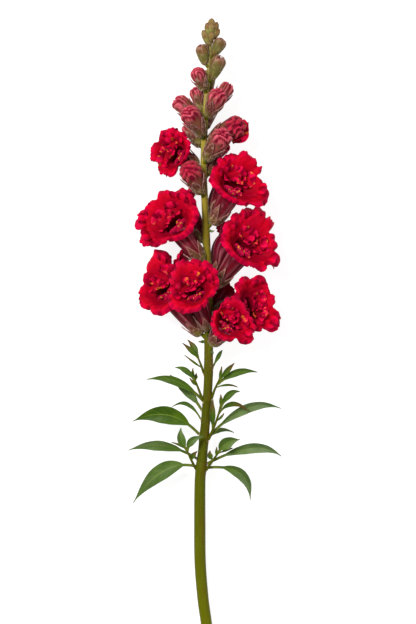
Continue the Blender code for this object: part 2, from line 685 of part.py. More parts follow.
def shoot(name, along, bearing, points, leaves):
    """A leafy side shoot in one solid, which starts just clear of the stem's side."""
    centre, radius = stem_at(along)
    outward = outward_at(bearing)
    foot = centre + outward * (radius + GAP)
    pieces = [twig([foot] + [Vector(point) for point in points], outward)]
    for start, middle, tip, breadth, roll in leaves:
        ends = [Vector(point) for point in (start, middle, tip)]
        stations = SMALL_LEAF_STATIONS if breadth > 3 else SHOOT_LEAF_STATIONS
        pieces.append(blade("small leaf", *ends, breadth, UP, stations, 3, 0.1, roll))
    return fuse(name, pieces, "leaf_green")


def build():
    florets = []
    for number, row in enumerate(OPEN_FLORETS + REAR_FLORETS, 1):
        florets.append(Floret(row, number))
        sides = RIM_SIDES if row in OPEN_FLORETS else REAR_RIM_SIDES
        corolla(f"corolla_{number}", florets[-1], sides)
    florets.append(Floret(HALF_OPEN_FLORET, 0))
    corolla("half_open_corolla", florets[-1], RIM_SIDES)
    buds = [Bud(row) for row in BUDS]
    for number, bud in enumerate(buds, 1):
        bud_corolla(f"bud_corolla_{number}", bud)
    green = [stem_axis()]
    for floret in florets:
        green.append(calyx(floret, 1 / math.cos(math.pi / CALYX_SIDES)))
    for floret in florets[:len(OPEN_FLORETS)]:
        green.append(bract(floret))
    for bud in buds:
        green.append(calyx(bud, 1))
    for row in TIP_BUDS:
        green.append(tip_bud(*row))
    fuse("stem", green, "stem_green")
    for row in LEAVES:
        stem_leaf(*row)
    for row in SHOOTS:
        shoot(*row)


clear_scene()
build()
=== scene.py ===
"""Dresses the cut snapdragon stem: ruffled petals, folded buds, hairy calyces and veined leaves.

Lengths are millimetres until a mesh is made. A bearing is counted in degrees from +X towards
+Z round the stem, or towards +Y round a mouth. Every point of a mesh carries a tint, three
numbers for its material: each material says what it reads in them.
"""

import random
from math import atan2, pi, radians, tau

import bpy
import numpy as np
from numpy import cos, sin
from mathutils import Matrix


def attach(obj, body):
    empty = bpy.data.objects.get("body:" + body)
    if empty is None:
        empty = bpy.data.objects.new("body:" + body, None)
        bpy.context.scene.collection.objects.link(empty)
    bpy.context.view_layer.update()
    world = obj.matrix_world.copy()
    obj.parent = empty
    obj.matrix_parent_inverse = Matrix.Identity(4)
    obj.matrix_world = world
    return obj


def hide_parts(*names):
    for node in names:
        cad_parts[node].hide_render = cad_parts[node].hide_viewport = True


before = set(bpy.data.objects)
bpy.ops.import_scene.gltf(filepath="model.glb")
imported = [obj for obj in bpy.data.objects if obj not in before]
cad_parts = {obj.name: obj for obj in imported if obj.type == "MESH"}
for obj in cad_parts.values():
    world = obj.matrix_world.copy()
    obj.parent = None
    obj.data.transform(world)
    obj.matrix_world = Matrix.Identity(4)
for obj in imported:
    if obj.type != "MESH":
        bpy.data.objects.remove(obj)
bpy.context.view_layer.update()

MM = 0.001
UP = np.array((0.0, 0.0, 1.0))
ALONG = np.array((0.0, 1.0, 0.0))

# Driving dimensions, as in the part's source
GAP = 0.35
PEDICEL = 4.5
PEDICEL_RADIUS = 1.3
SEPAL_TIP = 10.5
TUBE_FOOT = 3.3
TUBE_THROAT = 10.2
CUP_DEPTH = 7.5
KEEL = 0.9
TWIG_RADIUS = 1.1

# Finer sizes of the dressed pieces
PETAL = 0.45  # thickness of a petal
INNER_PETAL = 0.4
SEPAL = 0.5
LEAF = 0.4
PETIOLE = 2.1  # breadth of a leaf's stalk
TUBE_SWELL = 6.0  # how much the tube's radius grows early on
PIT_DEPTH = 7.5  # of the mouth, below the throat
MOUTH_SHIFT = 4.2  # of the mouth from the middle of the rim, towards the floret's own foot
MOUTH = (8.2, 3.4, 9.0)  # its reach towards that foot, away from it and to the sides
BOTTOM_DOME = 0.82  # height of a bud's head as a share of its radius
YOUNG = 4.9  # radius of head under which a bud is still green
RIPE = 7.8  # and over which it is about to open
OUTER_LOBE = (8.6, 1.25)  # length and bend of the second whorl's petals
BRACT = (5.5, 3.4)  # its length and breadth
SCAR = (0.16, 2.4)  # how much the stem is thicker at a leaf, and over what length
DOWNY = (-120, -35)  # along the stem: where its down begins, and where it gets thick

# Counts of the meshes: steps of a path, sides and rows of a floret in view and of one behind
PATH_STEPS = 24
FULL_MESH = (200, 24)
REAR_MESH = (96, 15)

# The photograph's frame: width and height in pixels, and the size of a pixel on the stem
FRAME = (416, 624)
PIXEL = 0.75
FRAME_CENTRE = (1.5, 11.25)
CAMERA_HEIGHT = 3000
SCALE_HEIGHT = 25  # at which the pixels have their size
SKY_LIGHT = 0.29
FLOOR_LIGHT = 0.86  # the floor's own

# The stem's axis: across, along, height, radius
STEM_AXIS = (
    (1, -231.5, 4.1, 4.25),
    (-2.3, -205, 6.2, 4.3),
    (-4.4, -178, 8.6, 4.35),
    (-4.7, -150, 11.2, 4.35),
    (-4.5, -115, 14.4, 4.15),
    (-3, -100, 15.8, 3.8),
    (-0.9, -77, 17.8, 3.55),
    (0.5, -60, 19.3, 3.4),
    (1.7, -40, 21.1, 3.4),
    (2, -14, 23.3, 3.35),
    (1.9, 10, 24.7, 3.15),
    (1.2, 35, 25.6, 3),
    (0.6, 60, 26.3, 2.8),
    (-0.7, 90, 26.8, 2.55),
    (-1.8, 117, 27.2, 2.4),
    (-1.3, 137, 27.5, 2.3),
    (-0.6, 158, 27.7, 2.1),
    (0.6, 176, 27.7, 1.8),
    (2, 192, 27.6, 1.45),
    (3.1, 209, 27.4, 1.2),
    (3.8, 222, 27.2, 1),
)

# Open florets: place along the stem, bearing round it, centre of the rim, the way the mouth
# looks, girth, and the rim's reach at eight bearings from +X towards +Y
OPEN_FLORETS = (
    (118, 165, (-27.5, 131, 38), (-0.36, 0.06, 0.93), 0.85, (14, 17, 17.5, 14, 14, 15.5, 18, 12.5)),
    (75, 25, (26, 111, 38), (0.28, 0.26, 0.92), 1, (17, 19.5, 20, 21, 21.5, 18, 18.5, 26.5)),
    (47, 142, (-28.5, 83, 37), (-0.3, 0.28, 0.91), 1, (21, 24, 21.5, 17.5, 23, 28.5, 18.5, 19.5)),
    (28.5, 20, (34.5, 65, 36), (0.3, 0.26, 0.92), 1, (17, 22, 25, 23, 21.5, 18, 19.5, 27)),
    (-8, 172, (-36, 32, 30), (-0.38, 0.22, 0.9), 0.95, (12, 17, 25, 13.5, 12, 19.5, 22.5, 18)),
    (-4, 99, (-10.5, 31.5, 49.5), (-0.1, 0.2, 0.97), 0.92, (19, 20.5, 19.5, 19.5, 16, 22, 20, 17)),
    (9, 2, (39, 16.5, 29), (0.42, 0.1, 0.9), 0.9, (13.5, 15, 22, 22, 12, 12, 18, 23)),
    (-16, 60, (20.5, 7, 44), (0.2, 0.05, 0.98), 0.9, (13, 12, 15.5, 13, 15.5, 18, 17.5, 22)),
)
REAR_FLORETS = (
    (112, 316, (10.5, 139, 7.6), (0.6, 0.6, -0.5), 0.64, (9, 9.5, 9.5, 9, 9, 9, 9, 9)),
    (83, 298, (13.5, 109, 10.4), (0.5, 0.6, -0.6), 0.72, (11, 11, 11.5, 11, 10.5, 11, 11, 11)),
    (62, 230, (-17.5, 93, 12.1), (-0.75, 0.55, -0.3), 0.8, (14, 14.5, 14, 13, 13, 14, 14, 14)),
    (36, 320, (17.5, 69, 11.6), (0.75, 0.5, -0.35), 0.78, (13, 13, 13.5, 13, 12.5, 13, 13, 13)),
    (4, 222, (-20, 48, 10.9), (-0.75, 0.5, -0.35), 0.76, (12, 13, 13, 12.5, 12, 12.5, 13, 12)),
    (-11, 292, (13.2, 30.5, 8.9), (0.6, 0.6, -0.5), 0.68, (11, 11, 11.5, 11, 11, 11, 11, 11)),
)
HALF_OPEN_FLORET = (137, 355, (23, 149.5, 29), (0.4, 0.1, 0.91), 0.66, (9, 10, 11, 9, 9.5, 9.5, 11, 10))
HALF_OPEN_POUCH = (137, 355, (21.5, 149.5, 30), (0.42, 0.2, 0.88), 8.4)

# The cuts between the lobes of each open floret: bearing, depth and half breadth in degrees
CUTS = (
    ((135, 4.5, 9), (222, 4.5, 8), (62, 1.5, 6), (300, 2, 9)),
    ((8, 7, 9), (42, 3, 7), (95, 1.5, 5), (150, 1.5, 6), (292, 3, 6)),
    ((83, 3.5, 6), (122, 5, 8), (158, 4, 7), (209, 6, 7), (30, 1.5, 8)),
    ((27, 6, 7), (60, 3, 6), (110, 1.5, 6), (302, 4.5, 6), (340, 2.5, 7)),
    ((178, 2.5, 9), (250, 3, 7), (60, 2, 8), (130, 2, 8)),
    ((140, 2, 8), (200, 2.5, 8), (70, 1.5, 7), (325, 2, 8)),
    ((355, 5, 10), (48, 3, 8), (290, 3, 7), (100, 2, 8)),
    ((275, 3, 7), (325, 2, 7), (30, 1.5, 8), (150, 1.5, 8)),
)
REAR_CUTS = ((20, 1.5, 9), (95, 1.5, 9), (165, 1.5, 9), (240, 1.5, 9), (310, 1.5, 9))

# The small inner petals of an open floret: bearing of the foot from the near side, distance from
# the mouth's middle, height over the throat, bearing it leans to, length, breadth, and bend
CREST = (
    (180, 3.8, -1.5, 0, 9.5, 10.5, 0.9),
    (152, 6.2, -1.5, 305, 9, 9, 1.1),
    (212, 6.6, -1.5, 60, 9, 9, 1.1),
    (168, 5.6, -1, 100, 8, 7, 0.8),
    (196, 8.2, -1, 175, 9, 9.5, 1),
    (118, 8.6, -1, 20, 7.5, 8, 1),
    (246, 8.6, -1, 330, 7.5, 8, 1),
    (136, 10.6, 1.5, 150, 8.5, 12, 0.9),
    (224, 10.6, 1.5, 212, 8.5, 12, 0.9),
)
OUTER_LOBES = (88, 122, 148, 214, 240, 270)  # bearings from the near side of a second whorl
PALATE = (
    (-42, 7, -2.5, 170, 5, 6, 1.3),
    (2, 7.4, -2.5, 185, 5.5, 6.5, 1.3),
    (44, 7, -2.5, 190, 5, 6, 1.3),
    (-24, 4.4, -3.2, 170, 4.2, 5.5, 1.1),
    (20, 4.4, -3.2, 190, 4.2, 5.5, 1.1),
    (62, 3.6, -3, 200, 4, 5, 1.1),
)

# Anthers, in pairs: bearing from the near side, distance from the mouth's middle, height
ANTHERS = ((-24, 5, 0.2), (18, 4.4, 0.4))

# Buds with colour: place along the stem, bearing round it, centre of the head, the way it
# looks, radius of the head
BUDS = (
    (98, 120, (-11.5, 116, 42), (-0.3, 0.35, 0.88), 8),
    (123, 65, (12, 141.5, 42), (0.3, 0.45, 0.84), 7.4),
    (141, 112, (-12, 158.5, 41), (-0.45, 0.5, 0.74), 7),
    (148, 200, (-19.5, 168, 21), (-0.8, 0.55, 0.15), 6.3),
    (156, 52, (9, 172.5, 37), (0.35, 0.75, 0.55), 6.6),
    (162, 335, (15.5, 179, 23), (0.5, 0.8, -0.1), 5.4),
    (160, 215, (-7.5, 176, 21), (-0.4, 0.9, -0.1), 5),
    (176, 125, (-6, 189.5, 34), (-0.3, 0.85, 0.4), 5.4),
    (184, 20, (9.3, 198.5, 31), (0.45, 0.8, 0.3), 4.6),
    (195, 165, (-2.8, 207.5, 29), (-0.3, 0.9, 0.2), 4),
    (202, 5, (10.3, 212.5, 28), (0.5, 0.8, 0.2), 3.8),
    (147, 275, (3, 168, 13.5), (0.15, 0.85, -0.5), 5.8),
    (134, 232, (-12, 150, 12), (-0.5, 0.75, -0.45), 6.2),
    (171, 280, (1.5, 188, 19), (0.1, 0.95, -0.3), 4.6),
)

# Unopened green buds at the tip: place along the stem, tip of the bud, radius
TIP_BUDS = (
    (209.5, (-2.5, 222.5, 29), 2.6),
    (215, (10, 223.5, 27), 2.7),
    (212.5, (4.5, 221, 31.5), 2.3),
    (211, (3.5, 223, 22), 2.7),
    (216, (0.5, 228, 28), 2.7),
    (217.5, (8.5, 228.5, 28), 2.8),
    (218.5, (4.5, 227.5, 31.5), 2.7),
    (219.5, (4.3, 231.5, 26.5), 3),
)

# Leaves on the stem: name, place along it, bearing round it, middle and tip of the midrib,
# widest breadth, roll about the midrib, share of the length that is stalk, and grey on top, partly its own
# glaucous coat and partly painted sheen
LEAVES = (
    ("left_1", -81, 172, (-28.5, -66, 25), (-55, -71, 18), 13.5, 10, 0.17, 0),
    ("left_2", -99, 178, (-33, -89, 19), (-58.5, -93, 14), 8.5, 25, 0.2, 0.6),
    ("left_3", -105, 192, (-32, -108.5, 15), (-55, -132.7, 8), 12.5, -12, 0.18, 0.45),
    ("left_4", -55, 188, (-23, -40.5, 27), (-44.5, -39.5, 24), 6.6, 15, 0.12, 0.15),
    ("left_5", -63, 205, (-14.5, -47, 16), (-27.5, -36, 13), 8, 20, 0.14, 1),
    ("left_6", -70, 200, (-14, -58, 15), (-25.5, -60.5, 9), 3.6, 30, 0.12, 0.3),
    ("right_1", -82, 8, (31, -61, 22), (56.3, -61.5, 15), 7.5, -18, 0.13, 1.15),
    ("right_2", -103, 2, (34, -91, 20), (56.6, -97.5, 14), 8, -14, 0.16, 1.2),
    ("right_3", -106, 348, (25.5, -110, 15), (33.2, -130.8, 6), 8.5, -20, 0.18, 0.8),
    ("right_4", -84, 345, (10.5, -77.5, 12), (21, -80, 6), 4, -35, 0.1, 0.3),
    ("right_5", -30, 352, (9.5, -21.5, 19), (12.5, -17.5, 16), 3.4, -20, 0.1, 0.3),
)

# Side shoots: name, place of the foot along the stem and bearing round it, and the twig's points
# after its foot
SHOOTS = (
    ("left_1", -35, 180, (-3.6, -29, 22.5), (-6, -23, 23)),
    ("left_2", -56, 150, (-5.8, -46, 24.5), (-8.5, -39, 27)),
    ("left_3", -107, 165, (-11.5, -99, 21), (-14.5, -92, 24)),
    ("right_1", -54, 12, (6.5, -47, 22.5), (10, -39.5, 25)),
    ("right_2", -85, 20, (5.2, -77, 21), (8.6, -68, 24), (10.8, -60, 27)),
    ("right_3", -108, 15, (5, -100.5, 19), (9.5, -94, 22)),
)

# Their leaves: place of the shoot in that list, foot, middle and tip of the midrib, breadth, roll
SHOOT_LEAVES = (
    (0, (-2.9, -31, 22.3), (-9, -26.5, 23), (-16.5, -21, 22), 1.8, 20),
    (0, (-5.5, -24, 23), (-11, -17.5, 25), (-18, -12, 24), 4, 25),
    (0, (-5.8, -23, 23), (-9, -15.5, 21), (-14, -9.5, 18), 4.4, 0),
    (1, (-8, -41, 26.5), (-15, -32.5, 31), (-23.3, -30.5, 29), 4.6, 18),
    (1, (-8.3, -39, 27), (-9.6, -34.5, 28), (-9.9, -30.5, 28), 2.8, 40),
    (1, (-8, -40, 26.5), (-7.6, -37.5, 25), (-7.3, -34.5, 24), 2.8, 0),
    (1, (-6.8, -44, 25), (-9.5, -41.5, 26.5), (-12.5, -38, 27), 2.2, 0),
    (2, (-14.3, -92.5, 24), (-18.5, -84, 27), (-18.7, -75.5, 26), 6.2, 0),
    (2, (-14, -93, 24), (-10.5, -85.5, 27), (-2, -82, 27), 5.6, 0),
    (2, (-14.5, -92, 24), (-20, -88.5, 25), (-26, -86.5, 24), 1.8, 0),
    (2, (-10.9, -100, 20.5), (-9.6, -96.5, 21.5), (-6.6, -93.2, 22.5), 4, 0),
    (3, (9.8, -40.5, 25), (16, -32.5, 28), (21.5, -27, 28), 4.2, -20),
    (3, (9.8, -39.5, 25), (11, -34.5, 27), (11.8, -29.5, 28), 2.2, 0),
    (3, (8.7, -43, 24), (23.5, -34, 24), (38.8, -34.2, 18), 5.6, -15),
    (3, (7.5, -45.5, 23.3), (16.5, -43.5, 23), (24, -45.5, 20), 1.8, -10),
    (4, (10.6, -61, 26.5), (17.5, -50.5, 30), (25.5, -48.5, 29), 5.2, -15),
    (4, (10.6, -60, 27), (11.2, -55, 28.5), (11, -50.5, 29), 2.6, 0),
    (4, (9.5, -65, 25), (20, -57.5, 28), (32.5, -63.5, 26), 4.2, -25),
    (4, (7.5, -71, 22.8), (11.5, -67.5, 24), (13.5, -64.5, 23.5), 1.8, 0),
    (4, (5.2, -77, 21), (4.9, -65, 25.5), (5.2, -54, 27), 4.4, 0),
    (5, (9.3, -94.5, 22), (15.5, -87, 27), (25.5, -84.5, 27), 9, -10),
    (5, (7.5, -97, 21), (7.8, -93.5, 22.5), (8.1, -90, 23), 2, 0),
    (5, (9, -95, 21.8), (15.5, -92.5, 19), (20.5, -91, 16), 1.8, 0),
    (5, (5.3, -100, 19.5), (3, -96.5, 22.5), (3.2, -92.6, 23), 4, 0),
)


def wide(values):
    """Numbers made ready to scale vectors."""
    return np.asarray(values, float)[..., None]


def steps(count, low=0.0, high=1.0):
    """Even steps down the rows of a grid."""
    return np.linspace(low, high, count)[:, None]


def angles(count):
    return np.arange(count) * tau / count


def unit(vectors):
    return vectors / np.maximum(np.linalg.norm(vectors, axis=-1, keepdims=True), 1e-9)


def ease(low, high, values):
    """0 below low, 1 above high and smooth between them."""
    t = np.clip((values - low) / (high - low), 0, 1)
    return t * t * (3 - 2 * t)


def turns(draw, count):
    """Random angles."""
    return [draw.uniform(0, tau) for _ in range(count)]


def smooth(values, place, mode):
    """Smooth values at places counted in steps along a list, whose ends clip or wrap."""
    i = np.minimum(place.astype(int), len(values) - (2 if mode == "clip" else 1))
    a, b, c, d = (np.take(values, i + k, mode=mode) for k in (-1, 0, 1, 2))
    t = place - i
    return b + 0.5 * t * (c - a + t * (2 * a - 5 * b + 4 * c - d + t * (3 * (b - c) + d - a)))


def stem_at(along):
    """Centre and radius of the stem at these places along it."""
    along = np.asarray(along, float)
    table = np.array(STEM_AXIS)
    place = np.interp(along, table[:, 1], np.arange(len(table)))
    across, height, radius = (smooth(table[:, k], place, "clip") for k in (0, 2, 3))
    return np.stack((across, along, height), -1), radius


def outward_at(bearing):
    """The way out of the stem at this bearing round it."""
    turn = radians(bearing)
    return np.array((cos(turn), 0, sin(turn)))


def on_stem(along, bearing, off):
    """A point this far off the stem's surface."""
    centre, radius = stem_at(along)
    return centre + outward_at(bearing) * (radius + off)


def rings_round(centre, way, aside, ring, radius):
    """Points round a line at the ring's angles; aside is a way that the line never takes."""
    side = unit(np.cross(way, aside))
    third = np.cross(way, side)
    spokes = side[..., None, :] * wide(cos(ring)) + third[..., None, :] * wide(sin(ring))
    return centre[:, None] + spokes * wide(radius)


class Path:
    """A smooth curve with a frame at each distance, whose side keeps to the side given at its end."""

    def __init__(self, start, start_way, end, end_way, side):
        reach = np.linalg.norm(end - start)
        t = steps(PATH_STEPS + 1)
        near, far = start + start_way * reach * 0.44, end - end_way * reach * 0.32
        s = 1 - t
        self.points = start * s**3 + near * 3 * s * s * t + far * 3 * s * t * t + end * t**3
        lengths = np.linalg.norm(np.diff(self.points, axis=0), axis=1)
        self.distances = np.concatenate(((0,), np.cumsum(lengths)))
        self.length = self.distances[-1]
        inner = unit(self.points[2:] - self.points[:-2])
        self.ways = np.concatenate((start_way[None], inner, end_way[None]))
        sides = []
        for way in self.ways[::-1]:
            side = unit(side - way * side.dot(way))
            sides.append(side)
        self.sides = np.array(sides[::-1])

    def read(self, values, distance):
        return np.stack([np.interp(distance, self.distances, values[:, k]) for k in range(3)], -1)

    def point(self, distance, angle, radius):
        """Points at distances from the start, at angles from the side and at radii."""
        distance, angle, radius = np.broadcast_arrays(distance, angle, radius)
        way = unit(self.read(self.ways, distance))
        side = self.read(self.sides, distance)
        side = unit(side - way * (side * way).sum(-1, keepdims=True))
        spoke = side * wide(cos(angle)) + np.cross(way, side) * wide(sin(angle))
        return self.read(self.points, distance) + spoke * wide(radius)


def normals(grid, closed):
    """The way out of a grid of points, on the side where its rows turn left round its columns."""
    along = np.gradient(grid, axis=0)
    across = np.roll(grid, -1, 1) - np.roll(grid, 1, 1) if closed else np.gradient(grid, axis=1)
    return unit(np.cross(across, along))


def tinted(grid, *parts):
    """Tints for a grid of points, each part of them spread over it."""
    return np.stack([np.broadcast_to(part, grid.shape[:2]) for part in parts], -1)


def numbered(grid):
    """Vertex numbers of a grid of points, with its first column again at the end."""
    numbers = np.arange(grid.size // 3).reshape(grid.shape[:2])
    return np.hstack((numbers, numbers[:, :1]))


def quads(numbers):
    """Faces between neighbouring rows and columns of vertex numbers."""
    a, b, c, d = numbers[:-1, :-1], numbers[:-1, 1:], numbers[1:, 1:], numbers[1:, :-1]
    return np.stack((a, b, c, d), -1).reshape(-1, 4)


def placed(name, data):
    """A new object in the scene."""
    obj = bpy.data.objects.new(name, data)
    bpy.context.scene.collection.objects.link(obj)
    return obj


class Shape:
    """Points, tints and faces gathered for one piece, each face with the name of its look."""

    def __init__(self):
        self.points, self.tints, self.faces, self.looks = [], [], [], []
        self.count = 0

    def add(self, points, tints, faces, look):
        self.tints.append(np.broadcast_to(tints, points.shape).reshape(-1, 3))
        self.points.append(points.reshape(-1, 3))
        for block in faces:
            self.faces += (block + self.count).tolist()
            self.looks += [look] * len(block)
        self.count += points.size // 3

    def tube(self, rings, tints, look):
        """A closed skin through rings of points, with a fan at each end."""
        around = numbered(rings)
        first, last = around[0], around[-1]
        ends = np.full(rings.shape[1], rings.size // 3)
        fans = [
            np.stack((first[1:], first[:-1], ends), -1),
            np.stack((last[:-1], last[1:], ends + 1), -1),
        ]
        tints = np.broadcast_to(tints, rings.shape)
        points, tints = (np.concatenate((v.reshape(-1, 3), v[[0, -1]].mean(1))) for v in (rings, tints))
        self.add(points, tints, [quads(around)] + fans, look)

    def sheet(self, grid, thickness, tints, back, look, closed):
        """A thick sheet either side of a grid of points, closed round its columns or open."""
        sides = grid.shape[1]
        out = normals(grid, closed) * wide(thickness) / 2
        axis = 0 if closed else 1
        pairs = ((grid + out, grid - out), (tints, back))
        points, tints = (np.concatenate((front, np.flip(rear, axis)), axis) for front, rear in pairs)
        numbers = numbered(points)
        if closed:
            faces = [quads(np.vstack((numbers, numbers[:1])))]
        else:
            faces = [quads(numbers)]
            for row, order in ((0, 1), (-1, -1)):
                pair = np.stack((numbers[row, :sides], numbers[row, -2:sides - 1:-1]))
                faces.append(quads(pair)[:, ::-order])
        self.add(points, tints, faces, look)

    def piece(self, name, slot, *nodes):
        """The finished object, which rides on the stem's body and stands for these nodes."""
        mesh = bpy.data.meshes.new(name)
        mesh.from_pydata((np.concatenate(self.points) * MM).tolist(), [], self.faces)
        tint = mesh.attributes.new("tint", "FLOAT_VECTOR", "POINT")
        tint.data.foreach_set("vector", np.concatenate(self.tints).astype(np.float32).ravel())
        looks = list(dict.fromkeys(self.looks))
        for look in looks:
            mesh.materials.append(LOOKS[look])
        mesh.polygons.foreach_set("material_index", [looks.index(look) for look in self.looks])
        mesh.shade_smooth()
        mesh.set_sharp_from_angle(angle=radians(70))
        obj = placed(name, mesh)
        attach(obj, "root")
        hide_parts(*nodes)


def on_surface(points, out, least):
    """Petal points kept off the floor: what would go lower is laid along it, outwards."""
    low = np.maximum(least - points[..., 2], 0)
    laid = points + out * wide(low) * 0.85
    laid[..., 2] = np.maximum(points[..., 2], least)
    return laid


def hairs(shape, draw, grid, count, length, radius):
    """Fine hairs that stand on a closed grid of points, each a slim three-sided spike."""
    rows, sides = grid.shape[:2]
    row = np.array([draw.randrange(rows - 1) for _ in range(count)])
    side = np.array([draw.randrange(sides) for _ in range(count)])
    part = np.array([[draw.random(), draw.random(), draw.random() * tau] for _ in range(count)])
    here, far = grid[row, side], grid[row + 1, (side + 1) % sides]
    foot = here + (far - here) * part[:, :1]
    turn = part[:, 2]
    spread = np.stack((cos(turn), sin(turn), sin(turn * 3)), -1)
    way = unit(normals(grid, True)[row, side] + spread * 0.35)
    corners = rings_round(foot - way * 0.1, way, (0.3, 0.5, 0.8), angles(3), radius)
    tips = foot + way * (length * (0.6 + 0.6 * part[:, 1:2]))
    points = np.concatenate((corners, tips[:, None]), 1)
    corner = np.array(((0, 1, 3), (1, 2, 3), (2, 0, 3), (2, 1, 0)))
    shape.add(points, (0, 0, 0), np.arange(count)[:, None] * 4 + corner[:, None], "fine_hair")


class Flower:
    """What a floret and a bud share: a foot on the stem, a path from it and a calyx."""

    def __init__(self, along, bearing, facing, seed):
        self.outward = outward_at(bearing)
        self.facing = unit(np.array(facing, float))
        self.start = on_stem(along, bearing, -0.8)
        self.draw = random.Random(seed)

    def lay_path(self, end, side):
        lead = unit(self.outward * 0.75 + ALONG * 0.66)
        self.path = Path(self.start, lead, end, self.facing, side)
        self.pedicel = min(PEDICEL, self.path.length * 0.24)
        self.foot = self.pedicel + GAP

    def share(self, distance):
        """How far along the corolla a distance along the path is, from its foot, 0, to 1."""
        return np.clip((distance - self.foot) / (self.path.length - self.foot), 0, 1)

    def skin(self, angle, distance, extra):
        """Points on the outside of the corolla's lower part, or off it."""
        return self.path.point(distance, angle, self.radius(distance) + extra)


class Floret(Flower):
    """An open floret: its path from the stem to its throat, and the surface of its petals."""

    def __init__(self, row, seed, cuts):
        along, bearing, rim, facing, self.girth, self.reach = row
        super().__init__(along, bearing, facing, seed)
        self.cuts = cuts
        self.waves = self.draw.choice((5, 6))
        self.phase, _, *self.turns = turns(self.draw, 10)
        self.lean = radians(self.draw.uniform(-18, 18))
        self.rim = np.array(rim, float)
        self.depth = CUP_DEPTH * self.girth
        self.across, self.over = self.rim_axes()
        throat = self.rim - self.facing * self.depth
        home = self.start - throat
        self.near = atan2(home.dot(self.over), home.dot(self.across))
        self.shift = unit(self.flat(self.near)) * MOUTH_SHIFT * self.girth
        self.lay_path(throat + self.shift, unit(self.across))
        self.out = unit(self.facing * (1, 1, 0))
        self.sepal_tip = SEPAL_TIP * self.girth

    def rim_axes(self):
        """Two axes of the rim's plane, which from above are X and Y where the mouth looks up."""
        n = self.facing
        if n[2] > 0.6:
            return np.array((1, 0, -n[0] / n[2])), np.array((0, 1, -n[1] / n[2]))
        over = unit(ALONG - n * n[1])
        return np.cross(over, n), over

    def radius(self, distance):
        """Radius of the tube at distances along the path."""
        share = self.share(distance)
        rest = TUBE_THROAT - TUBE_FOOT - TUBE_SWELL
        return (TUBE_FOOT + TUBE_SWELL * share**0.6 + rest * share**3) * self.girth

    def reach_at(self, angle):
        """How far the rim reaches at angles."""
        return smooth(self.reach, np.asarray(angle / tau % 1 * len(self.reach)), "wrap")

    def flat(self, angle):
        return self.across * wide(cos(angle)) + self.over * wide(sin(angle))

    def lobes(self, angle):
        """How deep the rim is cut between lobes, and how far each lobe's edge lies over the next."""
        depth, lap = np.zeros((2, *angle.shape))
        for bearing, deep, half in self.cuts:
            turn = (np.degrees(angle) - bearing + 180) % 360 - 180
            depth += deep * np.exp(-((turn / half) ** 2))
            lap += np.tanh(turn / 2.0) * np.exp(-((turn / 16) ** 2)) * (1 if deep > 2 else -1)
        return depth, lap

    def petal(self, angle, share, inside):
        """Points in the middle of the petals' thickness, from the throat, 0, to the margin, 1.

        The inside is a bowl that goes on inwards on the far side of the mouth. With the points
        comes their relief, from -1 in a valley to 1 on a ridge.
        """
        one, two, three, four, five = self.turns[:5]
        nearness = np.maximum(0.0, cos(angle - self.near)) ** 2
        farness = np.maximum(0.0, -cos(angle - self.near)) ** 1.5
        loose = 1 - 0.8 * nearness
        reach = self.reach_at(angle)
        throat = TUBE_THROAT * self.girth
        free = loose * np.clip((reach - throat) / 8, 0, 1)
        start = self.mouth(angle) if inside else throat
        depth, lap = self.lobes(angle)
        phase = 13 * angle + one + 1.2 * sin(3 * angle + two)
        fold = sin(phase)
        scallop = 1 - abs(sin(12 * angle + four + 0.8 * sin(4 * angle + five)))
        nick = 1 - abs(sin(25 * angle + two + 0.9 * sin(5 * angle + one)))
        radius = start + (reach - start) * share
        part = np.clip((radius - throat) / np.maximum(reach - throat, 1), 0, 1)
        frill = sin(27 * angle + three + 1.1 * sin(5 * angle + four) + 2 * part)
        uneven = np.clip(0.75 + sin(5 * angle + three) * sin(3 * angle + one), 0.2, 1.6)
        notches = (1.1 * scallop**2 + 0.9 * nick**2) * uneven
        radius = radius + 0.8 * part - depth * part**2 - notches * (0.35 + 0.65 * free) * part**8
        radius = radius + 0.7 * free * cos(phase) * part**3
        curl = 3.0 * free * part**3.5 + 1.8 * nearness * part**5
        lip = 3.0 * nearness * sin(pi * part**1.4) * part
        hood = 2.2 * farness * sin(pi * part**1.1)
        wave = 1.7 * free * part**2 * sin(self.waves * angle + self.phase)
        strength = 0.7 + 0.6 * sin(2 * angle + two) * sin(5 * angle + four)
        ruffle = free * strength * (1.8 * fold * part**3 + 1.4 * frill * part**6)
        pleat = sin(3 * angle + five + 1.5 * share + 0.9 * sin(2 * angle + three))
        hump = np.maximum(share * (1 - share) * 4, 0)
        bowl = (2.2 * farness + 0.9 * loose * (1 + pleat)) * hump if inside else 0
        overlap = 1.2 * lap * free * part**1.5
        across, over = radius * cos(angle), radius * sin(angle)
        crinkle = sin(1.1 * across + 0.7 * over + one + 1.5 * sin(0.5 * over + two))
        crinkle = crinkle + sin(1.2 * over - 0.6 * across + three + 1.5 * sin(0.45 * across + four))
        crinkle = crinkle * np.clip(2 * part, 0, 1) * (1 - 0.6 * nearness - 0.55 * farness)
        height = (wave - curl + lip + hood + ruffle + bowl + overlap + 0.26 * crinkle) * self.girth
        height = height - self.depth * (1 - part) ** 2
        swing = angle + 0.04 * free * fold * part**3
        points = self.rim + self.flat(swing) * wide(radius) + self.facing * wide(height)
        points = points + self.shift * wide((1 - part) ** 2)
        # The relief goes into the tint, where it paints shade in the valleys and a highlight on the ridges;
        # by the deep cuts between lobes it is lowered, which paints shade in those gaps.
        relief = (0.8 * fold + 0.5 * frill) * part**2.5 + 0.35 * pleat * (1 - part) * loose + 0.2 * crinkle
        relief = relief - 0.5 * (1 - abs(lap)) * (depth > 1) * part**2
        return on_surface(points, self.out, PETAL), np.clip(relief, -1, 1) * np.minimum(1, 3 * share)

    def mouth(self, angle):
        """How far the edge of the mouth is from its middle: a slit that lies along the lip."""
        near, far, aside = MOUTH
        to_near = cos(angle - self.near)
        depth = np.where(to_near > 0, near, far)
        return self.girth / np.sqrt((to_near / depth) ** 2 + (sin(angle - self.near) / aside) ** 2)

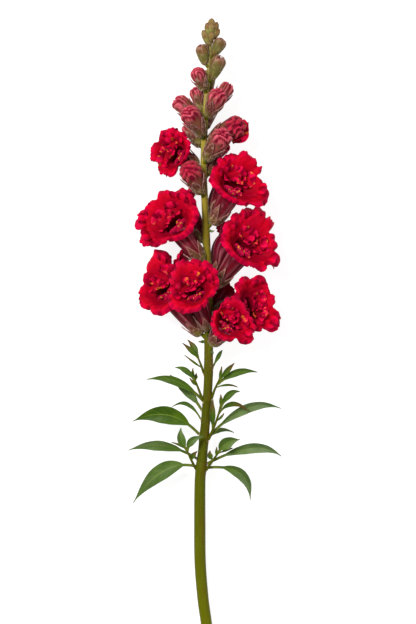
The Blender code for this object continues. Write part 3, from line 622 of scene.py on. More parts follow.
    def tube(self, angle, share):
        """Points on the outside of the tube, with its two keels."""
        distance = self.foot + (self.path.length - self.foot) * share
        turn = np.degrees(angle - self.near)
        keels = sum(np.maximum(0, 1 - abs((turn - at + 180) % 360 - 180) / 24) for at in (-32, 32))
        keel = KEEL * self.girth * keels * np.clip(4 * (share - 0.4), 0, 1)
        ribs = 0.12 * sin(10 * angle + self.turns[5]) * sin(pi * share)
        return on_surface(self.skin(angle, distance, keel + ribs), self.out, 0.0)

    def inner(self, angle, radius, height):
        """Points inside the mouth, at heights over the throat."""
        points = self.rim + self.shift + self.flat(angle) * wide(radius)
        return points + self.facing * wide(height - self.depth)


class Bud(Flower):
    """A closed or opening bud: a pouch on a path that ends at the middle of its head."""

    def __init__(self, row, seed):
        along, bearing, head, facing, self.head_radius = row
        super().__init__(along, bearing, facing, seed)
        self.lay_path(np.array(head, float), unit(np.cross(ALONG, self.facing)))
        self.sepal_tip = (self.path.length - self.pedicel) * 0.68

    def radius(self, distance):
        return self.head_radius * (0.42 + 0.58 * sin(self.share(distance) * pi / 2) ** 1.1)

    def skin(self, angle, distance, extra):
        """Points on the pouch, whose head goes on from the end of the path as a dome."""
        rise = np.clip((distance - self.path.length) / self.head_radius, 0, pi / 2)
        size = self.radius(distance) + extra
        flat = self.path.point(distance, angle, size * cos(rise))
        return flat + self.facing * wide(sin(rise) * size * BOTTOM_DOME)


def corolla(shape, floret, sides, rows):
    """The petals and tube of an open floret in one closed skin, tube to margin to pit."""
    ring = angles(sides)
    grids = []
    tints = []

    def lay(points, *parts):
        """Adds rows of points with their tints: place along the corolla, relief and inside."""
        grids.append(points)
        tints.append(tinted(points, *parts))

    tube = steps(16, 0, 0.97)
    streak = sin(7 * ring + floret.phase + 1.5 * sin(4 * tube + 2 * ring))
    streak = 0.9 * streak * sin(3 * ring + floret.phase) + 0.5 * sin(19 * ring + 3 * tube + 4 * streak)
    lay(floret.tube(ring, tube), tube * 0.5, np.clip(streak, -1, 1), 0)
    share = steps(rows) ** 0.85
    half = wide(PETAL * (1 - 0.45 * share)) / 2
    middle, relief = floret.petal(ring, share, False)
    lay((middle + normals(middle, True) * half)[1:], 0.5 + 0.5 * share[1:], relief[1:], 0)
    middle, relief = floret.petal(ring, share, True)
    lay((middle - normals(middle, True) * half)[::-1], 0.5 + 0.5 * share[::-1], relief[::-1], 1)
    t = steps(7)
    radius = floret.mouth(ring) * (0.96 - 0.3 * t - 0.5 * np.maximum(0, t - 0.6) / 0.4)
    height = (-0.2 - PIT_DEPTH * ease(0, 1, t)) * floret.girth
    # The pit's place falls to 0, where the inside colour is darkest: painted shade in the hollow.
    lay(floret.inner(ring, radius, height), 0.45 * (1 - t), 0, 1)
    shape.tube(np.concatenate(grids), np.concatenate(tints), "petal_velvet")


def ribbon(shape, floret, arc, radii, heights, folds, size, seed, sides, rows):
    """A ruffled inner petal that stands in the mouth along an arc counted from the near side."""
    one, two, three = turns(random.Random(seed), 3)
    girth = floret.girth
    part = np.linspace(0, 1, sides)
    v = steps(rows)
    angle = floret.near + np.radians(arc[0] + (arc[1] - arc[0]) * part)
    taper = sin(pi * np.clip(part, 0.001, 0.999)) ** 0.35
    fold = sin(folds * angle + one)
    radius = radii[0] + (radii[1] - radii[0]) * v**1.3 + size * fold * v**1.2
    radius = radius + 0.22 * size * v**3 * sin(2.6 * folds * angle + two)
    teeth = 0.8 * abs(sin(1.7 * folds * angle + three)) * v**4
    rise = (heights[1] - heights[0]) * v * (0.75 + 0.25 * sin(2 * angle + two)) * taper
    swing = angle + 0.12 * v * sin(2 * folds * angle + three)
    grid = floret.inner(swing, radius * girth, (heights[0] + rise + teeth) * girth)
    # The fold goes into the tint, where it paints shade in the valleys and a highlight on the ridges.
    tint = tinted(grid, v, fold * (1 - 0.3 * v), 1)
    shape.sheet(grid, INNER_PETAL, tint, tint, "ruffle_velvet", False)


def lobe(shape, floret, look, row, jitter, back=0.0, low=0.25):
    """A small cupped petal that rises in the mouth and curls over, with a wavy rounded margin.

    Back is the share of the mouth's shift that is taken off, and low the tint of its foot.
    """
    bearing, distance, height, lean, length, breadth, bend = row
    draw = floret.draw
    girth = floret.girth
    turn = floret.near + floret.lean
    angle = turn + radians(bearing + jitter * draw.uniform(-12, 12))
    foot = floret.inner(angle, distance * girth, height * girth) - floret.shift * back
    over = unit(floret.flat(turn + radians(lean + jitter * draw.uniform(-30, 30))))
    side = unit(np.cross(over, floret.facing))
    size = girth * (1 + jitter * draw.uniform(-0.15, 0.15))
    one, two = turns(draw, 2)
    t = steps(11)
    v = np.linspace(-1, 1, 19)
    scallop = 0.07 * (1 - abs(sin(5 * v + one))) ** 2
    reach = length * size * (1 - 0.34 * v * v - scallop)
    rise, lay = sin(bend * t) / bend * reach, (1 - cos(bend * t)) / bend * reach
    half = breadth * size / 2 * (0.3 + 0.7 * sin(pi / 2 * np.minimum(1, 1.3 * t)))
    fold = sin(4.2 * v + one) + 0.45 * sin(9.5 * v + two)
    wave = size * (0.75 * fold * t**1.5 - 1.3 * v * v * t)
    normal = over * wide(cos(bend * t)) - floret.facing * wide(sin(bend * t))
    grid = foot + floret.facing * wide(rise) + over * wide(lay) + side * wide(half * v) + normal * wide(wave)
    # Its place from the foot and its fold go into the tint: the foot is painted darker as shade, the fold's
    # valleys as shade and its ridges as highlight.
    tint = tinted(grid, low + (1 - low) * t, np.clip(fold, -1, 1), 1)
    shape.sheet(grid, INNER_PETAL, tint, tint, look, False)


def outer_lobes(shape, floret):
    """A second whorl of petals that lies on the first where the rim reaches far."""
    for bearing in OUTER_LOBES:
        angle = floret.near + floret.lean + radians(bearing)
        reach = floret.reach_at(angle) / floret.girth
        distance = reach - 8.5
        if distance < 10:
            continue
        part = (distance - TUBE_THROAT) / max(reach - TUBE_THROAT, 1)
        height = CUP_DEPTH * (1 - (1 - max(part, 0)) ** 2) + 0.6
        length, bend = OUTER_LOBE
        row = (bearing, distance, height, bearing, length, floret.draw.uniform(9, 13), bend)
        lobe(shape, floret, "petal_velvet", row, 0.5, 1.0, 0.68)


def spindle(shape, start, end, radius, profile, look, tint):
    """A small round body along a line, as wide as the profile says at even steps."""
    centre = start + (end - start) * steps(len(profile))
    size = radius * np.array(profile)[:, None]
    grid = rings_round(centre, unit(end - start), (0.31, 0.52, 0.79), angles(8), size)
    shape.tube(grid, (tint, 0, 0), look)


def anthers(shape, floret):
    """Yellow anthers in pairs in the mouth."""
    girth = floret.girth
    for bearing, radius, height in ANTHERS:
        angle = floret.near + radians(bearing)
        middle = floret.inner(angle, radius * girth, height * girth)
        aside = unit(floret.flat(angle + pi / 2))
        tilt = unit(floret.facing + aside * floret.draw.uniform(-0.8, 0.8))
        for half in (-0.55, 0.55):
            foot = middle + np.cross(tilt, floret.facing + aside) * half - tilt * 1.2
            profile = (0.25, 0.75, 1.0, 1.0, 0.8, 0.3)
            spindle(shape, foot, foot + tilt * 1.9, 0.5, profile, "anther_pollen", floret.draw.random())


def dress_floret(number, floret, full):
    """All of one floret's red: the corolla, its inner ruffles and its anthers."""
    shape = Shape()
    corolla(shape, floret, *(FULL_MESH if full else REAR_MESH))
    if full:
        for row in CREST:
            lobe(shape, floret, "ruffle_velvet", row, 1.0)
        for row in PALATE:
            lobe(shape, floret, "palate_velvet", row, 0.4)
        outer_lobes(shape, floret)
        anthers(shape, floret)
    else:
        ribbon(shape, floret, (40, 320), (5.0, 6.5), (-1.5, 5.0), 6, 1.2, number * 7 + 1, 80, 8)
    shape.piece(f"petals_{number}", "petal_red", f"corolla_{number}")


def dress_half_open(number, floret, pouch):
    """The floret that is still a pouch, with its first red petals pushing out on the far side."""
    shape = Shape()
    pouch_skin(shape, pouch, "opening_velvet")
    for step, (radii, heights) in enumerate((((12.0, 17.5), (0.0, 9.5)), ((10.0, 15.0), (3.0, 14.0)))):
        ribbon(shape, floret, (62, 190), radii, heights, 5, 1.8, number * 7 + step, 120, 12)
    shape.piece(f"petals_{number}", "petal_red", "half_open_corolla")


def pouch_skin(shape, bud, look):
    """A pouch whose petals are rolled over one another at the head."""
    ring = angles(84)
    radius = bud.head_radius
    lead, sway, shade = turns(bud.draw, 3)
    low = np.linspace(bud.foot, bud.path.length, 18)
    high = bud.path.length + radius * np.radians(np.linspace(0, 88, 26)[1:])
    distance = np.concatenate((low, high))[:, None]
    grid = bud.skin(ring, distance, 0)
    rise = (distance - bud.path.length) / radius
    middle = cos(np.clip(rise, 0, pi / 2))
    head = ease(-1.3, 0.0, rise)
    aside, ahead = middle * sin(ring - lead), middle * cos(ring - lead)
    bend = 2.4 * sin(3 * ahead + sway) + 1.3 * sin(5.3 * ahead + 3 * aside + shade)
    field = 0.7 * sin(12 * aside + bend + lead) + 0.4 * sin(9 * ahead + 2 * bend + shade)
    slit = np.exp(-(((aside + 0.14 * sin(5 * ahead)) / 0.09) ** 2)) * ease(0.75, 0.45, abs(ahead))
    slit = slit * ease(0.1, 0.6, rise)
    groove = np.maximum(ease(-0.05, 0.55, -field) * head, slit)
    crest = ease(0.0, 0.7, field) * head * (1 - slit)
    grid = grid + normals(grid, True) * wide(radius * (0.08 * crest - 0.13 * groove - 0.1 * slit))
    # The grooves and slit go into the tint as painted shade between the rolled petals, and the crests as a
    # painted highlight.
    shape.tube(grid, tinted(grid, steps(len(grid)), groove, crest * (0.6 + 0.4 * shade / tau)), look)


def dress_bud(number, bud):
    """The red part of a bud."""
    shape = Shape()
    looks = ("young_bud_down", "bud_velvet", "opening_velvet")
    pouch_skin(shape, bud, looks[(bud.head_radius >= YOUNG) + (bud.head_radius > RIPE)])
    shape.piece(f"bud_petals_{number}", "bud_red", f"bud_corolla_{number}")


def calyx(shape, flower, draw, young):
    """A pedicel and its five pointed sepals, which hug the foot of a corolla."""
    ring = angles(80)
    size = min(1.0, flower.sepal_tip / 10)
    floor = flower.radius(flower.foot) + GAP
    stalk = min(PEDICEL_RADIUS, floor * 0.6)
    notch = 0.84 if young else 0.3
    spoke = abs((ring * 5 / tau + 0.5) % 1 - 0.5) * 2
    reach = flower.sepal_tip * 1.25
    if young:
        reach = flower.path.length - flower.foot + 1.45 * flower.head_radius
    uneven = 1 + 0.1 * sin(2 * ring + flower.path.length)
    end = reach * (notch + (1 - notch) * (1 - spoke**0.85)) * uneven
    shade = draw.random()
    length = steps(5, 0, flower.pedicel)
    swell = 1 + 0.25 * (1 - length / flower.pedicel)
    shape.tube(flower.path.point(length, angles(14), stalk * swell), (0.1, 0, shade), "stem_skin")
    back, width = np.array(((0.9, 0.55, 0.2), (0.9, 0.55, 0.15)))[..., None]
    base = flower.path.point(flower.pedicel - back, ring, floor + (stalk - floor) * width + 0.1)
    part = steps(14)
    ridge = 0.35 * cos(spoke * pi / 2) ** 2 - 0.2 * ease(0.7, 1.0, spoke)
    gap = GAP + SEPAL / 2 + (ridge + 0.25 * part + 0.5 * part**6 * (1 - spoke)) * size
    grid = np.concatenate((base, flower.skin(ring, flower.foot + part * end, gap)))
    along = np.concatenate((np.zeros((3, 1)), part))
    margin = np.maximum(ease(0.8, 1.0, along), ease(0.8, 1.0, spoke) * ease(0.3, 0.8, along))
    tints = tinted(grid, along * (0.4 + 0.6 * (1 - spoke)), margin, shade + young)
    shape.sheet(grid, SEPAL, tints, tints, "calyx_down", True)
    hairs(shape, draw, grid + normals(grid, True) * SEPAL / 2, int(380 * size), 0.85, 0.045)


def leaf_width(t, breadth, stalk):
    """Half the breadth of a leaf at shares of its length."""
    u = np.clip((t - stalk) / (1 - stalk), 0, 1)
    full = np.maximum(sin(pi * u**0.8), 0) ** (1.0 + 0.35 * u)
    stalk_half = min(PETIOLE, breadth * 0.4) / 2
    least = np.where(t < 0.8, stalk_half, stalk_half * (1 - t) / 0.2 + 0.12)
    return np.maximum(full * breadth / 2, least)


def blade(shape, foot, middle, tip, breadth, facing, counts, stalk, roll, bloom_and_sheen, thickness=LEAF):
    """A leaf along its midrib: folded upwards a little, grooved at the rib, its edges waved."""
    foot, middle, tip = (np.array(point, float) for point in (foot, middle, tip))
    handle = middle * 2 - (foot + tip) / 2
    t = steps(counts[0] + 1)
    rib = foot * (1 - t) ** 2 + handle * 2 * t * (1 - t) + tip * t * t
    way = unit((handle - foot) * (1 - t) + (tip - handle) * t)
    side = unit(np.cross(way, facing))
    up = np.cross(side, way)
    turn = radians(roll)
    side, up = side * cos(turn) + up * sin(turn), up * cos(turn) - side * sin(turn)
    half = leaf_width(t, breadth, stalk)
    v = np.linspace(-1, 1, counts[1])
    edge = abs(v)
    wave = 0.035 * sin(15.4 * t + 2 * v) * edge
    flutter = 0.05 * sin(27 * t + 3 * v) * v**4
    quilt = 0.02 * sin(tau * (8 * t - 1.1 * edge)) * edge * (1 - edge) * 4
    ridge = np.exp(-((v * half / 0.45) ** 2))
    lift = half * (0.3 * v * v + wave + flutter + quilt) - 0.22 * ridge
    grid = rib[:, None] + side[:, None] * wide(half * v) + up[:, None] * wide(lift)
    thick = thickness * (1 - 0.4 * edge**3) + 0.35 * ridge
    shape.sheet(grid, thick, tinted(grid, t, v, bloom_and_sheen), tinted(grid, t, v, 1), "leaf_skin", False)


def twig(shape, points, outward):
    """A side shoot's axis, whose foot faces the stem squarely."""
    place = np.linspace(0, len(points) - 1, 6 * (len(points) - 1) + 1)
    centre = np.stack([smooth(points[:, k], place, "clip") for k in range(3)], -1)
    way = unit(np.gradient(centre, axis=0))
    way[0] = outward
    radius = TWIG_RADIUS * (1 - 0.4 * place / place[-1])[:, None]
    grid = rings_round(centre, way, UP, angles(10), radius)
    shape.tube(grid, (0.3, 0, 0.15), "stem_skin")
    return grid


# Materials

LOOKS = {}
ROSE = (1, 0.1, 0.25)


class Look:
    """A procedural material, whose colour is laid on in coats.

    Its numbers are the roughness, the level of specular light, and the sheen's weight,
    roughness and tint.
    """

    def __init__(self, name, roughness, specular, sheen=0.0, sheen_roughness=0.5, sheen_tint=(1, 1, 1)):
        LOOKS[name] = made = bpy.data.materials.new(name)
        made.use_nodes = True
        self.tree = made.node_tree
        self.shader = self.tree.nodes["Principled BSDF"]
        self.fix(Roughness=roughness, Specular_IOR_Level=specular, Sheen_Weight=sheen,
                 Sheen_Roughness=sheen_roughness, Sheen_Tint=(*sheen_tint, 1))
        tint = self.node("ShaderNodeAttribute", attribute_name="tint")
        parts = self.node("ShaderNodeSeparateXYZ", {"Vector": tint.outputs["Vector"]})
        self.x, self.y, self.z = parts.outputs
        self.place = self.node("ShaderNodeTexCoord").outputs["Object"]
        self.skin = (0, 0, 0)

    def fix(self, **sockets):
        """Constant values on the shader's own sockets."""
        for name, value in sockets.items():
            self.shader.inputs[name.replace("_", " ")].default_value = value

    def node(self, kind, inputs=None, **settings):
        made = self.tree.nodes.new(kind)
        for name, value in settings.items():
            setattr(made, name, value)
        for name, value in (inputs or {}).items():
            self.feed(made.inputs[name], value)
        return made

    def feed(self, socket, value):
        if isinstance(value, bpy.types.NodeSocket):
            self.tree.links.new(value, socket)
        else:
            socket.default_value = value

    def math(self, operation, *values, kind="ShaderNodeMath"):
        made = self.node(kind, dict(enumerate(values)), operation=operation)
        return made.outputs[0]

    def times(self, first, *others):
        for other in others:
            first = self.math("MULTIPLY", first, other)
        return first

    def noise(self, scale, detail=3.0, vector=None):
        inputs = {"Vector": vector or self.place, "Scale": scale, "Detail": detail}
        return self.node("ShaderNodeTexNoise", inputs).outputs["Fac"]

    def span(self, value, low, high):
        """0 where the value is low or less, 1 where it is high or more."""
        inputs = {"Value": value, "From Min": low, "From Max": high}
        return self.node("ShaderNodeMapRange", inputs, interpolation_type="SMOOTHSTEP").outputs["Result"]

    def flecks(self, scale, detail, low, high):
        """Flecks where the noise goes from low to high."""
        return self.span(self.noise(scale, detail), low, high)

    def ramp(self, *stops, by=None):
        """A colour for each value, or place along the piece: stops are place, red, green, blue."""
        made = self.node("ShaderNodeValToRGB", {"Fac": by or self.x})
        marks = made.color_ramp.elements
        while len(marks) < len(stops):
            marks.new(0.5)
        for mark, (place, *colour) in zip(marks, stops):
            mark.position = place
            mark.color = (*colour, 1)
        return made.outputs["Color"]

    def mix(self, share, a, b):
        a, b = ((*v, 1) if isinstance(v, tuple) else v for v in (a, b))
        return self.node("ShaderNodeMix", {0: share, 6: a, 7: b}, data_type="RGBA").outputs[2]

    def coat(self, colour, *shares):
        """Lays a colour over the ones before it, by the product of its shares."""
        self.skin = self.mix(self.times(*shares or (1.0,)), self.skin, colour)
        self.feed(self.shader.inputs["Base Color"], self.skin)

    def rough(self, value, low, high):
        made = self.node("ShaderNodeMapRange", {"Value": value, "To Min": low, "To Max": high})
        self.feed(self.shader.inputs["Roughness"], made.outputs["Result"])

    def bump(self, height, depth, strength=1.0):
        """Relief of this depth in millimetres."""
        made = self.node("ShaderNodeBump", {"Height": height, "Strength": strength, "Distance": depth * MM})
        self.feed(self.shader.inputs["Normal"], made.outputs["Normal"])


def velvet(look, valley, ridge, patch_scale=70):
    """Dark patches and streaks over a petal's colour, painted shade in the valleys of its relief, a painted
    highlight on its ridges, and a fine relief.
    """
    streaks = look.noise(420, 4)
    look.coat((0.26, 0.0, 0.016), look.flecks(patch_scale, 3, 0.54, 0.3), 0.6)
    # Painted shade in the valleys; on the tube, where the tint holds streaks, dark streaks.
    look.coat(valley, look.y, -0.8)
    # Painted highlight on the ridges; on the tube, pale downy streaks, partly their own colour and partly
    # painted sheen.
    look.coat(ridge, look.y, 0.6)
    look.coat((0.72, 0.01, 0.1), look.span(streaks, 0.5, 0.8), 0.15)
    look.rough(streaks, 0.5, 0.7)
    look.bump(look.math("ADD", look.times(look.noise(260, 4), 5.0), look.noise(1500, 2)), 0.12, 0.8)


def petal_look():
    """Tint: place from foot through throat, half, to margin; valley or ridge; 1 on the inside. The inside is
    painted darker towards the throat and pit as shade, and pinker at the margin, partly as a painted
    highlight.
    """
    look = Look("petal_velvet", 0.5, 0.03, 0.07, 0.35, ROSE)
    # Painted shade: the inside darkens from the margin down into the throat and pit; the pink at the margin
    # is partly its own colour and partly a painted highlight.
    inside = look.ramp(
        (0.0, 0.1, 0.0, 0.004), (0.4, 0.18, 0.0, 0.008), (0.5, 0.2, 0.0, 0.008),
        (0.66, 0.34, 0.0, 0.01), (0.85, 0.5, 0.0, 0.012), (1.0, 0.58, 0.0, 0.055),
    )
    outside = look.ramp(
        (0.0, 0.06, 0.03, 0.012), (0.15, 0.08, 0.012, 0.014), (0.42, 0.1, 0.002, 0.018),
        (0.55, 0.2, 0.001, 0.022), (1.0, 0.46, 0.001, 0.04),
    )
    look.coat(look.mix(look.z, outside, inside))
    tube = look.times(look.span(look.x, 0.55, 0.45), look.math("SUBTRACT", 1.0, look.z))
    # Valleys get painted shade and petal ridges a painted red highlight; the tube's streaks get pale mauve
    # down, partly painted sheen.
    velvet(look, (0.13, 0.0, 0.006), look.mix(tube, (0.74, 0.001, 0.03), (0.42, 0.12, 0.14)))


def ruffle_look():
    """Tint: place from foot to margin, painted darker towards the foot as shade; valley or ridge, painted as
    shade and highlight.
    """
    look = Look("ruffle_velvet", 0.48, 0.02, 0.04, 0.4, ROSE)
    # Painted shade: darker towards the foot, deep in the mouth, and bright at the margin.
    look.coat(look.ramp((0.0, 0.06, 0.0, 0.008), (0.45, 0.34, 0.0, 0.02), (1.0, 0.68, 0.002, 0.05)))
    look.coat((0.85, 0.24, 0.01), look.flecks(230, 2, 0.59, 0.65), look.span(look.x, 0.5, 0.85))
    # Painted shade in the folds' valleys and a painted highlight on their ridges.
    velvet(look, (0.14, 0.0, 0.01), (0.82, 0.006, 0.07), 120)


def palate_look():
    """Tint: place from foot to margin, painted darker towards the foot, deep in the mouth, as shade."""
    look = Look("palate_velvet", 0.55, 0.04, 0.04, 0.5, (1, 0.2, 0.4))
    # Painted shade: darker towards the foot, deep in the mouth.
    look.coat(look.ramp((0.0, 0.08, 0.0, 0.012), (0.5, 0.3, 0.003, 0.04), (1.0, 0.52, 0.004, 0.05)))
    look.coat((0.7, 0.26, 0.02), look.flecks(380, 2, 0.62, 0.68))
    look.bump(look.noise(1800, 2), 0.1)


def anther_look():
    """Tint: a shade of its own."""
    look = Look("anther_pollen", 0.8, 0.15, 0.1)
    grains = look.noise(2600)
    look.coat((0.75, 0.28, 0.01))
    look.coat((0.8, 0.5, 0.06), grains, look.x)
    look.bump(grains, 0.12)


def bud_look(name, head, ridge, downy):
    """Tint: place from foot to tip; groove between rolled petals, painted as shade; their crests, painted
    with a mottled highlight.
    """
    look = Look(name, 0.6, 0.06, 0.12, 0.35, (1, 0.5, 0.6))
    look.coat(look.ramp((0.0, 0.1, 0.05, 0.02), (0.45, 0.28, 0.05, 0.05), (1.0, *head)))
    look.coat((0.56, 0.1, 0.13), look.noise(300, 4), downy)
    look.coat((0.16, 0.07, 0.03), look.flecks(240, 3, 0.45, 0.62), look.span(look.x, 0.8, 0.35))
    # Painted highlight: a mottled paler colour on the crests of the rolled petals.
    look.coat(ridge, look.flecks(330, 3, 0.3, 0.62), look.z)
    # Painted shade in the grooves and slits between the rolled petals.
    look.coat((0.17, 0.0, 0.018), look.y, 0.95)
    look.bump(look.noise(1500), 0.14)


def calyx_look():
    """Tint: place along the sepal; margin; a shade, over 1 on young green ones and 2 at the tip."""
    look = Look("calyx_down", 0.6, 0.12, 0.25, 0.35, (1, 0.85, 0.75))
    youth = look.span(look.z, 0.98, 1.02)
    look.coat(look.ramp((0.0, 0.16, 0.14, 0.02), (0.35, 0.1, 0.045, 0.015), (1.0, 0.14, 0.03, 0.025)))
    look.coat(look.ramp((0.0, 0.11, 0.11, 0.018), (0.5, 0.12, 0.1, 0.025), (1.0, 0.2, 0.07, 0.035)), youth)
    tip = look.ramp(
        (0.0, 0.05, 0.06, 0.01), (0.4, 0.22, 0.22, 0.05), (0.75, 0.24, 0.15, 0.05),
        (1.0, 0.15, 0.05, 0.025),
    )
    look.coat(tip, look.span(look.z, 1.98, 2.02))
    look.coat(look.mix(youth, (0.1, 0.01, 0.015), (0.14, 0.045, 0.015)), look.flecks(160, 4, 0.42, 0.62), 0.7)
    look.coat(look.mix(youth, (0.42, 0.25, 0.17), (0.26, 0.2, 0.08)), look.flecks(380, 4, 0.5, 0.68), 0.6)
    look.coat((0.5, 0.22, 0.2), look.y, 0.5)
    look.rough(look.noise(600), 0.5, 0.75)
    look.bump(look.noise(1200), 0.15)


def stem_look():
    """Tint: place from cut end to tip; 1 on the cut; 0 to 1 round the stem."""
    look = Look("stem_skin", 0.5, 0.07, 0.02, 0.4, (1, 0.92, 0.8))
    look.coat(look.ramp(
        (0.0, 0.12, 0.125, 0.0), (0.24, 0.075, 0.084, 0.0), (0.37, 0.056, 0.062, 0.0),
        (0.46, 0.078, 0.072, 0.001), (0.66, 0.2, 0.15, 0.008), (0.8, 0.36, 0.28, 0.04),
        (1.0, 0.3, 0.26, 0.08),
    ))
    drawn_out = look.math("MULTIPLY", look.place, (900, 45, 900), kind="ShaderNodeVectorMath")
    fibres = look.noise(1.0, 4, drawn_out)
    # A brown flush on the stem's +X side, away from the key light: partly the stem's own tint and partly
    # painted shade.
    look.coat((0.12, 0.06, 0.002), look.flecks(45, 3, 0.4, 0.62), look.span(look.z, 0.3, 0.8), 0.4)
    look.coat((0.14, 0.16, 0.002), look.span(fibres, 0.4, 0.7), 0.25)
    look.coat((0.5, 0.55, 0.25), look.y)
    look.rough(fibres, 0.38, 0.6)
    look.bump(fibres, 0.18, 0.7)


def leaf_look():
    """Tint: place along; -1 to 1 across; grey on top, partly its own glaucous coat and partly painted sheen,
    1 underneath, and under 0 for a maroon tip.
    """
    look = Look("leaf_skin", 0.42, 0.16, 0.05, 0.5, (0.9, 1, 0.85))
    aside = look.math("ABSOLUTE", look.y)
    look.coat(look.ramp((0.35, 0.035, 0.08, 0.001), (0.65, 0.08, 0.15, 0.003), by=look.noise(60)))
    # Painted sheen: the top greys towards the tip, partly its own glaucous coat and partly a painted
    # reflection of the pale sky.
    grey_bloom_and_sheen = look.ramp((0.35, 0.08, 0.145, 0.04), (0.65, 0.17, 0.23, 0.1), by=look.noise(80))
    look.coat(grey_bloom_and_sheen, look.z, look.math("ADD", look.times(look.x, 1.1), 0.1))
    # Painted shade: the half of the leaf on the -1 side of the midrib is darker, as if it faced away from the
    # light.
    look.coat((0.035, 0.08, 0.003), look.span(look.y, 0.15, -0.15), 0.45)
    look.coat((0.12, 0.035, 0.012), look.span(look.x, 0.35, 0.95), look.z, -1.0)
    look.coat((0.12, 0.15, 0.012), look.span(look.x, 0.22, 0.1))
    saw = look.math("FRACT", look.math("SUBTRACT", look.times(look.x, 9), look.times(aside, 1.3)))
    vein = look.span(look.math("ABSOLUTE", look.math("SUBTRACT", saw, 0.5)), 0.1, 0.0)
    vein = look.times(vein, look.span(aside, 1.0, 0.3))
    look.coat((0.2, 0.27, 0.06), vein, 0.12)
    look.coat((0.2, 0.27, 0.03), look.span(aside, 0.09, 0.02), 0.55)
    look.rough(look.noise(500), 0.35, 0.6)
    look.bump(look.math("ADD", look.times(vein, -0.6), look.noise(900)), 0.12, 0.8)


def hair_look():
    """Reads no tint."""
    look = Look("fine_hair", 0.5, 0.4)
    look.coat(look.ramp((0.3, 0.52, 0.36, 0.29), (0.7, 0.7, 0.58, 0.47), by=look.noise(300)))


def floor_look():
    """Pale, and lit from within, so that shadows on it stay faint."""
    look = Look("pale_floor", 0.9, 0.0)
    look.fix(Emission_Color=(1, 1, 1, 1), Emission_Strength=FLOOR_LIGHT)
    look.coat(look.ramp((0.3, 0.3, 0.3, 0.3), (0.7, 0.32, 0.32, 0.32), by=look.noise(4)))


def make_looks():
    petal_look()
    ruffle_look()
    palate_look()
    anther_look()
    # The third colour of each bud look is the painted highlight on its crests.
    bud_look("bud_velvet", (0.46, 0.01, 0.045), (0.72, 0.11, 0.17), 0.35)
    bud_look("opening_velvet", (0.42, 0.002, 0.03), (0.56, 0.015, 0.06), 0.06)
    bud_look("young_bud_down", (0.2, 0.07, 0.035), (0.3, 0.16, 0.08), 0.1)
    calyx_look()
    stem_look()
    leaf_look()
    hair_look()
    floor_look()


# Pieces


def dress_stem():
    """The stem's skin with its cut end, the scars under leaves, and its pale down."""
    shape = Shape()
    draw = random.Random(71)
    low, high = STEM_AXIS[0][1], STEM_AXIS[-1][1]
    along = np.concatenate(((low + 0.3, low + 0.2, low), np.linspace(low, high, 420)))
    centre, radius = stem_at(along)
    ahead, _ = stem_at(along + 1)
    radius[:3] *= (0.3, 0.8, 0.94)
    for row in LEAVES + SHOOTS:
        radius[3:] += SCAR[0] * np.exp(-(((along[3:] - row[1]) / SCAR[1]) ** 2))
    ring = angles(40)
    lines = 0.05 * sin(4 * ring + 0.004 * along[:, None]) + 0.03 * sin(11 * ring + 1)
    size = radius[:, None] * (1 + 0.35 * lines)
    grid = rings_round(centre, unit(ahead - centre), UP, ring, size)
    grid[..., 2] = np.maximum(grid[..., 2], 0)
    place = ((along - low) / (high - low))[:, None]
    cut = (np.arange(len(along)) < 3)[:, None]
    shape.tube(grid, tinted(grid, place, cut, 0.5 + 0.5 * cos(ring)), "stem_skin")
    first, thick = DOWNY
    hairs(shape, draw, grid[along > thick], 8000, 0.7, 0.04)
    hairs(shape, draw, grid[(along > first) & (along <= thick)], 500, 0.4, 0.035)
    for _, spot, bearing, *_ in LEAVES + SHOOTS:
        foot = on_stem(spot, bearing, -0.1)
        profile = (0.2, 0.8, 1.0, 0.9, 0.2)
        spindle(shape, foot - ALONG * 2.0, foot + ALONG * 1.4, 1.0, profile, "fine_hair", draw.random())
    shape.piece("stem_skin", "stem_green", "stem")


def dress_calyces(florets, buds):
    """Every pedicel and calyx, in two pieces."""
    draw = random.Random(72)
    for kind, flowers in (("floret", florets), ("bud", buds)):
        shape = Shape()
        for flower in flowers:
            calyx(shape, flower, draw, kind == "bud" and flower.head_radius < YOUNG)
        shape.piece(f"{kind}_calyces", "stem_green", "stem")


def dress_tip():
    """The unopened buds at the tip: closed sepals over a point."""
    shape = Shape()
    draw = random.Random(73)
    ring = angles(50)
    for along, tip, size in TIP_BUDS:
        start, _ = stem_at(along)
        end = np.array(tip, float)
        way = unit(end - start)
        path = Path(start, way, end, way, unit(np.cross(way, UP)))
        t = steps(26)
        round_part = np.interp(t, (0, 0.2, 0.45, 0.7, 0.88, 0.97, 1), (0.4, 0.75, 1, 0.98, 0.7, 0.35, 0.12))
        spoke = abs((ring * 5 / tau + 0.3 * t) % 1 - 0.5) * 2
        groove = ease(0.82, 1.0, spoke) * ease(0.15, 0.5, t)
        radius = size * round_part * (1 - 0.16 * groove + 0.05 * (1 - spoke))
        grid = path.point(path.length * t, ring, radius)
        shape.tube(grid, tinted(grid, t * 0.9, groove * 0.2, 2.1 + draw.random()), "calyx_down")
        hairs(shape, draw, grid, 140, 0.5, 0.04)
    shape.piece("tip_buds", "stem_green", "stem")


def dress_bracts(flowers):
    """The small pointed leaf under each pedicel."""
    shape = Shape()
    length, breadth = BRACT
    for flower in flowers:
        size = min(1.0, flower.path.length / 30)
        foot = flower.start - flower.outward * 0.4 - ALONG * 2.2 * size
        tip = foot + (flower.outward * length - ALONG * 0.4) * size
        middle = (foot + tip) / 2 - ALONG * size
        blade(shape, foot, middle, tip, breadth * size, ALONG, (14, 7), 0.0, 40, -0.7, 0.35)
    shape.piece("bracts", "stem_green", "stem")


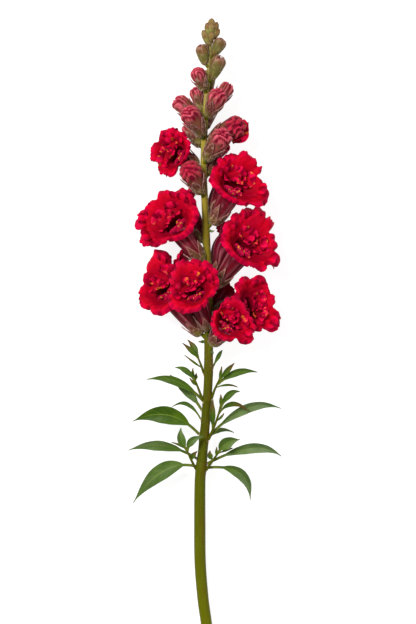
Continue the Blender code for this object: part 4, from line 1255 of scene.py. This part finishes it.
def dress_leaves():
    for name, along, bearing, middle, tip, breadth, roll, stalk, bloom_and_sheen in LEAVES:
        shape = Shape()
        foot = on_stem(along, bearing, GAP - 0.3)
        blade(shape, foot, middle, tip, breadth, UP, (60, 21), stalk, roll, bloom_and_sheen)
        shape.piece(f"blade_{name}", "leaf_green", f"leaf_{name}")


def dress_shoots():
    draw = random.Random(74)
    for number, (name, along, bearing, *points) in enumerate(SHOOTS):
        shape = Shape()
        foot = on_stem(along, bearing, GAP - 0.4)
        grid = twig(shape, np.array((foot, *points)), outward_at(bearing))
        hairs(shape, draw, grid, 60, 0.35, 0.03)
        for shoot, start, middle, tip, breadth, roll in SHOOT_LEAVES:
            if shoot == number:
                bloom_and_sheen = draw.uniform(0.1, 0.8) if breadth > 4.4 else -0.9
                blade(shape, start, middle, tip, breadth, UP, (32, 13), 0.1, roll, bloom_and_sheen)
        shape.piece(f"leafy_shoot_{name}", "leaf_green", f"shoot_{name}")


def dress():
    rows = OPEN_FLORETS + REAR_FLORETS
    cuts = CUTS + (REAR_CUTS,) * len(REAR_FLORETS)
    florets = [Floret(row, number, cut) for number, (row, cut) in enumerate(zip(rows, cuts), 1)]
    for number, floret in enumerate(florets, 1):
        dress_floret(number, floret, number <= len(OPEN_FLORETS))
    pouch = Bud(HALF_OPEN_POUCH, 29)
    pouch.sepal_tip = SEPAL_TIP
    dress_half_open(len(florets) + 1, Floret(HALF_OPEN_FLORET, 0, REAR_CUTS), pouch)
    buds = [Bud(row, 30 + number) for number, row in enumerate(BUDS)]
    for number, bud in enumerate(buds, 1):
        dress_bud(number, bud)
    dress_stem()
    dress_calyces(florets + [pouch], buds)
    dress_tip()
    dress_bracts(florets[:len(OPEN_FLORETS)])
    dress_leaves()
    dress_shoots()


def area_light(name, place, size, power, colour):
    """A square soft light that looks at the middle of the stem."""
    lamp = bpy.data.lights.new(name, "AREA")
    lamp.size = size
    lamp.energy = power
    lamp.color = colour
    obj = placed(name, lamp)
    obj.location = place
    obj.rotation_euler = (-obj.location.normalized()).to_track_quat("-Z", "Y").to_euler()


def studio():
    """Pale floor, soft lights and the camera, which looks straight down on the stem."""
    mesh = bpy.data.meshes.new("floor")
    corners = [(x * 4.0, y * 4.0, 0.0) for x, y in ((-1, -1), (1, -1), (1, 1), (-1, 1))]
    mesh.from_pydata(corners, [], [(0, 1, 2, 3)])
    mesh.materials.append(LOOKS["pale_floor"])
    floor = placed("floor", mesh)
    area_light("key", (-0.7, 0.6, 1.5), 0.6, 33, (1, 0.99, 0.97))
    area_light("fill", (0.9, -0.3, 1.4), 1.2, 7, (0.97, 0.98, 1))
    scene = bpy.context.scene
    scene.world = scene.world or bpy.data.worlds.new("studio")
    scene.world.use_nodes = True
    sky = scene.world.node_tree.nodes["Background"].inputs
    sky["Color"].default_value = (1, 1, 1, 1)
    sky["Strength"].default_value = SKY_LIGHT
    scene.view_settings.view_transform = "Standard"
    camera = bpy.data.cameras.new("camera")
    camera.sensor_fit = "AUTO"
    camera.sensor_width = 36
    camera.lens = camera.sensor_width * (CAMERA_HEIGHT - SCALE_HEIGHT) / (FRAME[1] * PIXEL)
    camera.clip_end = 20
    scene.camera = placed("camera", camera)
    scene.camera.location = (FRAME_CENTRE[0] * MM, FRAME_CENTRE[1] * MM, CAMERA_HEIGHT * MM)


make_looks()
dress()
studio()
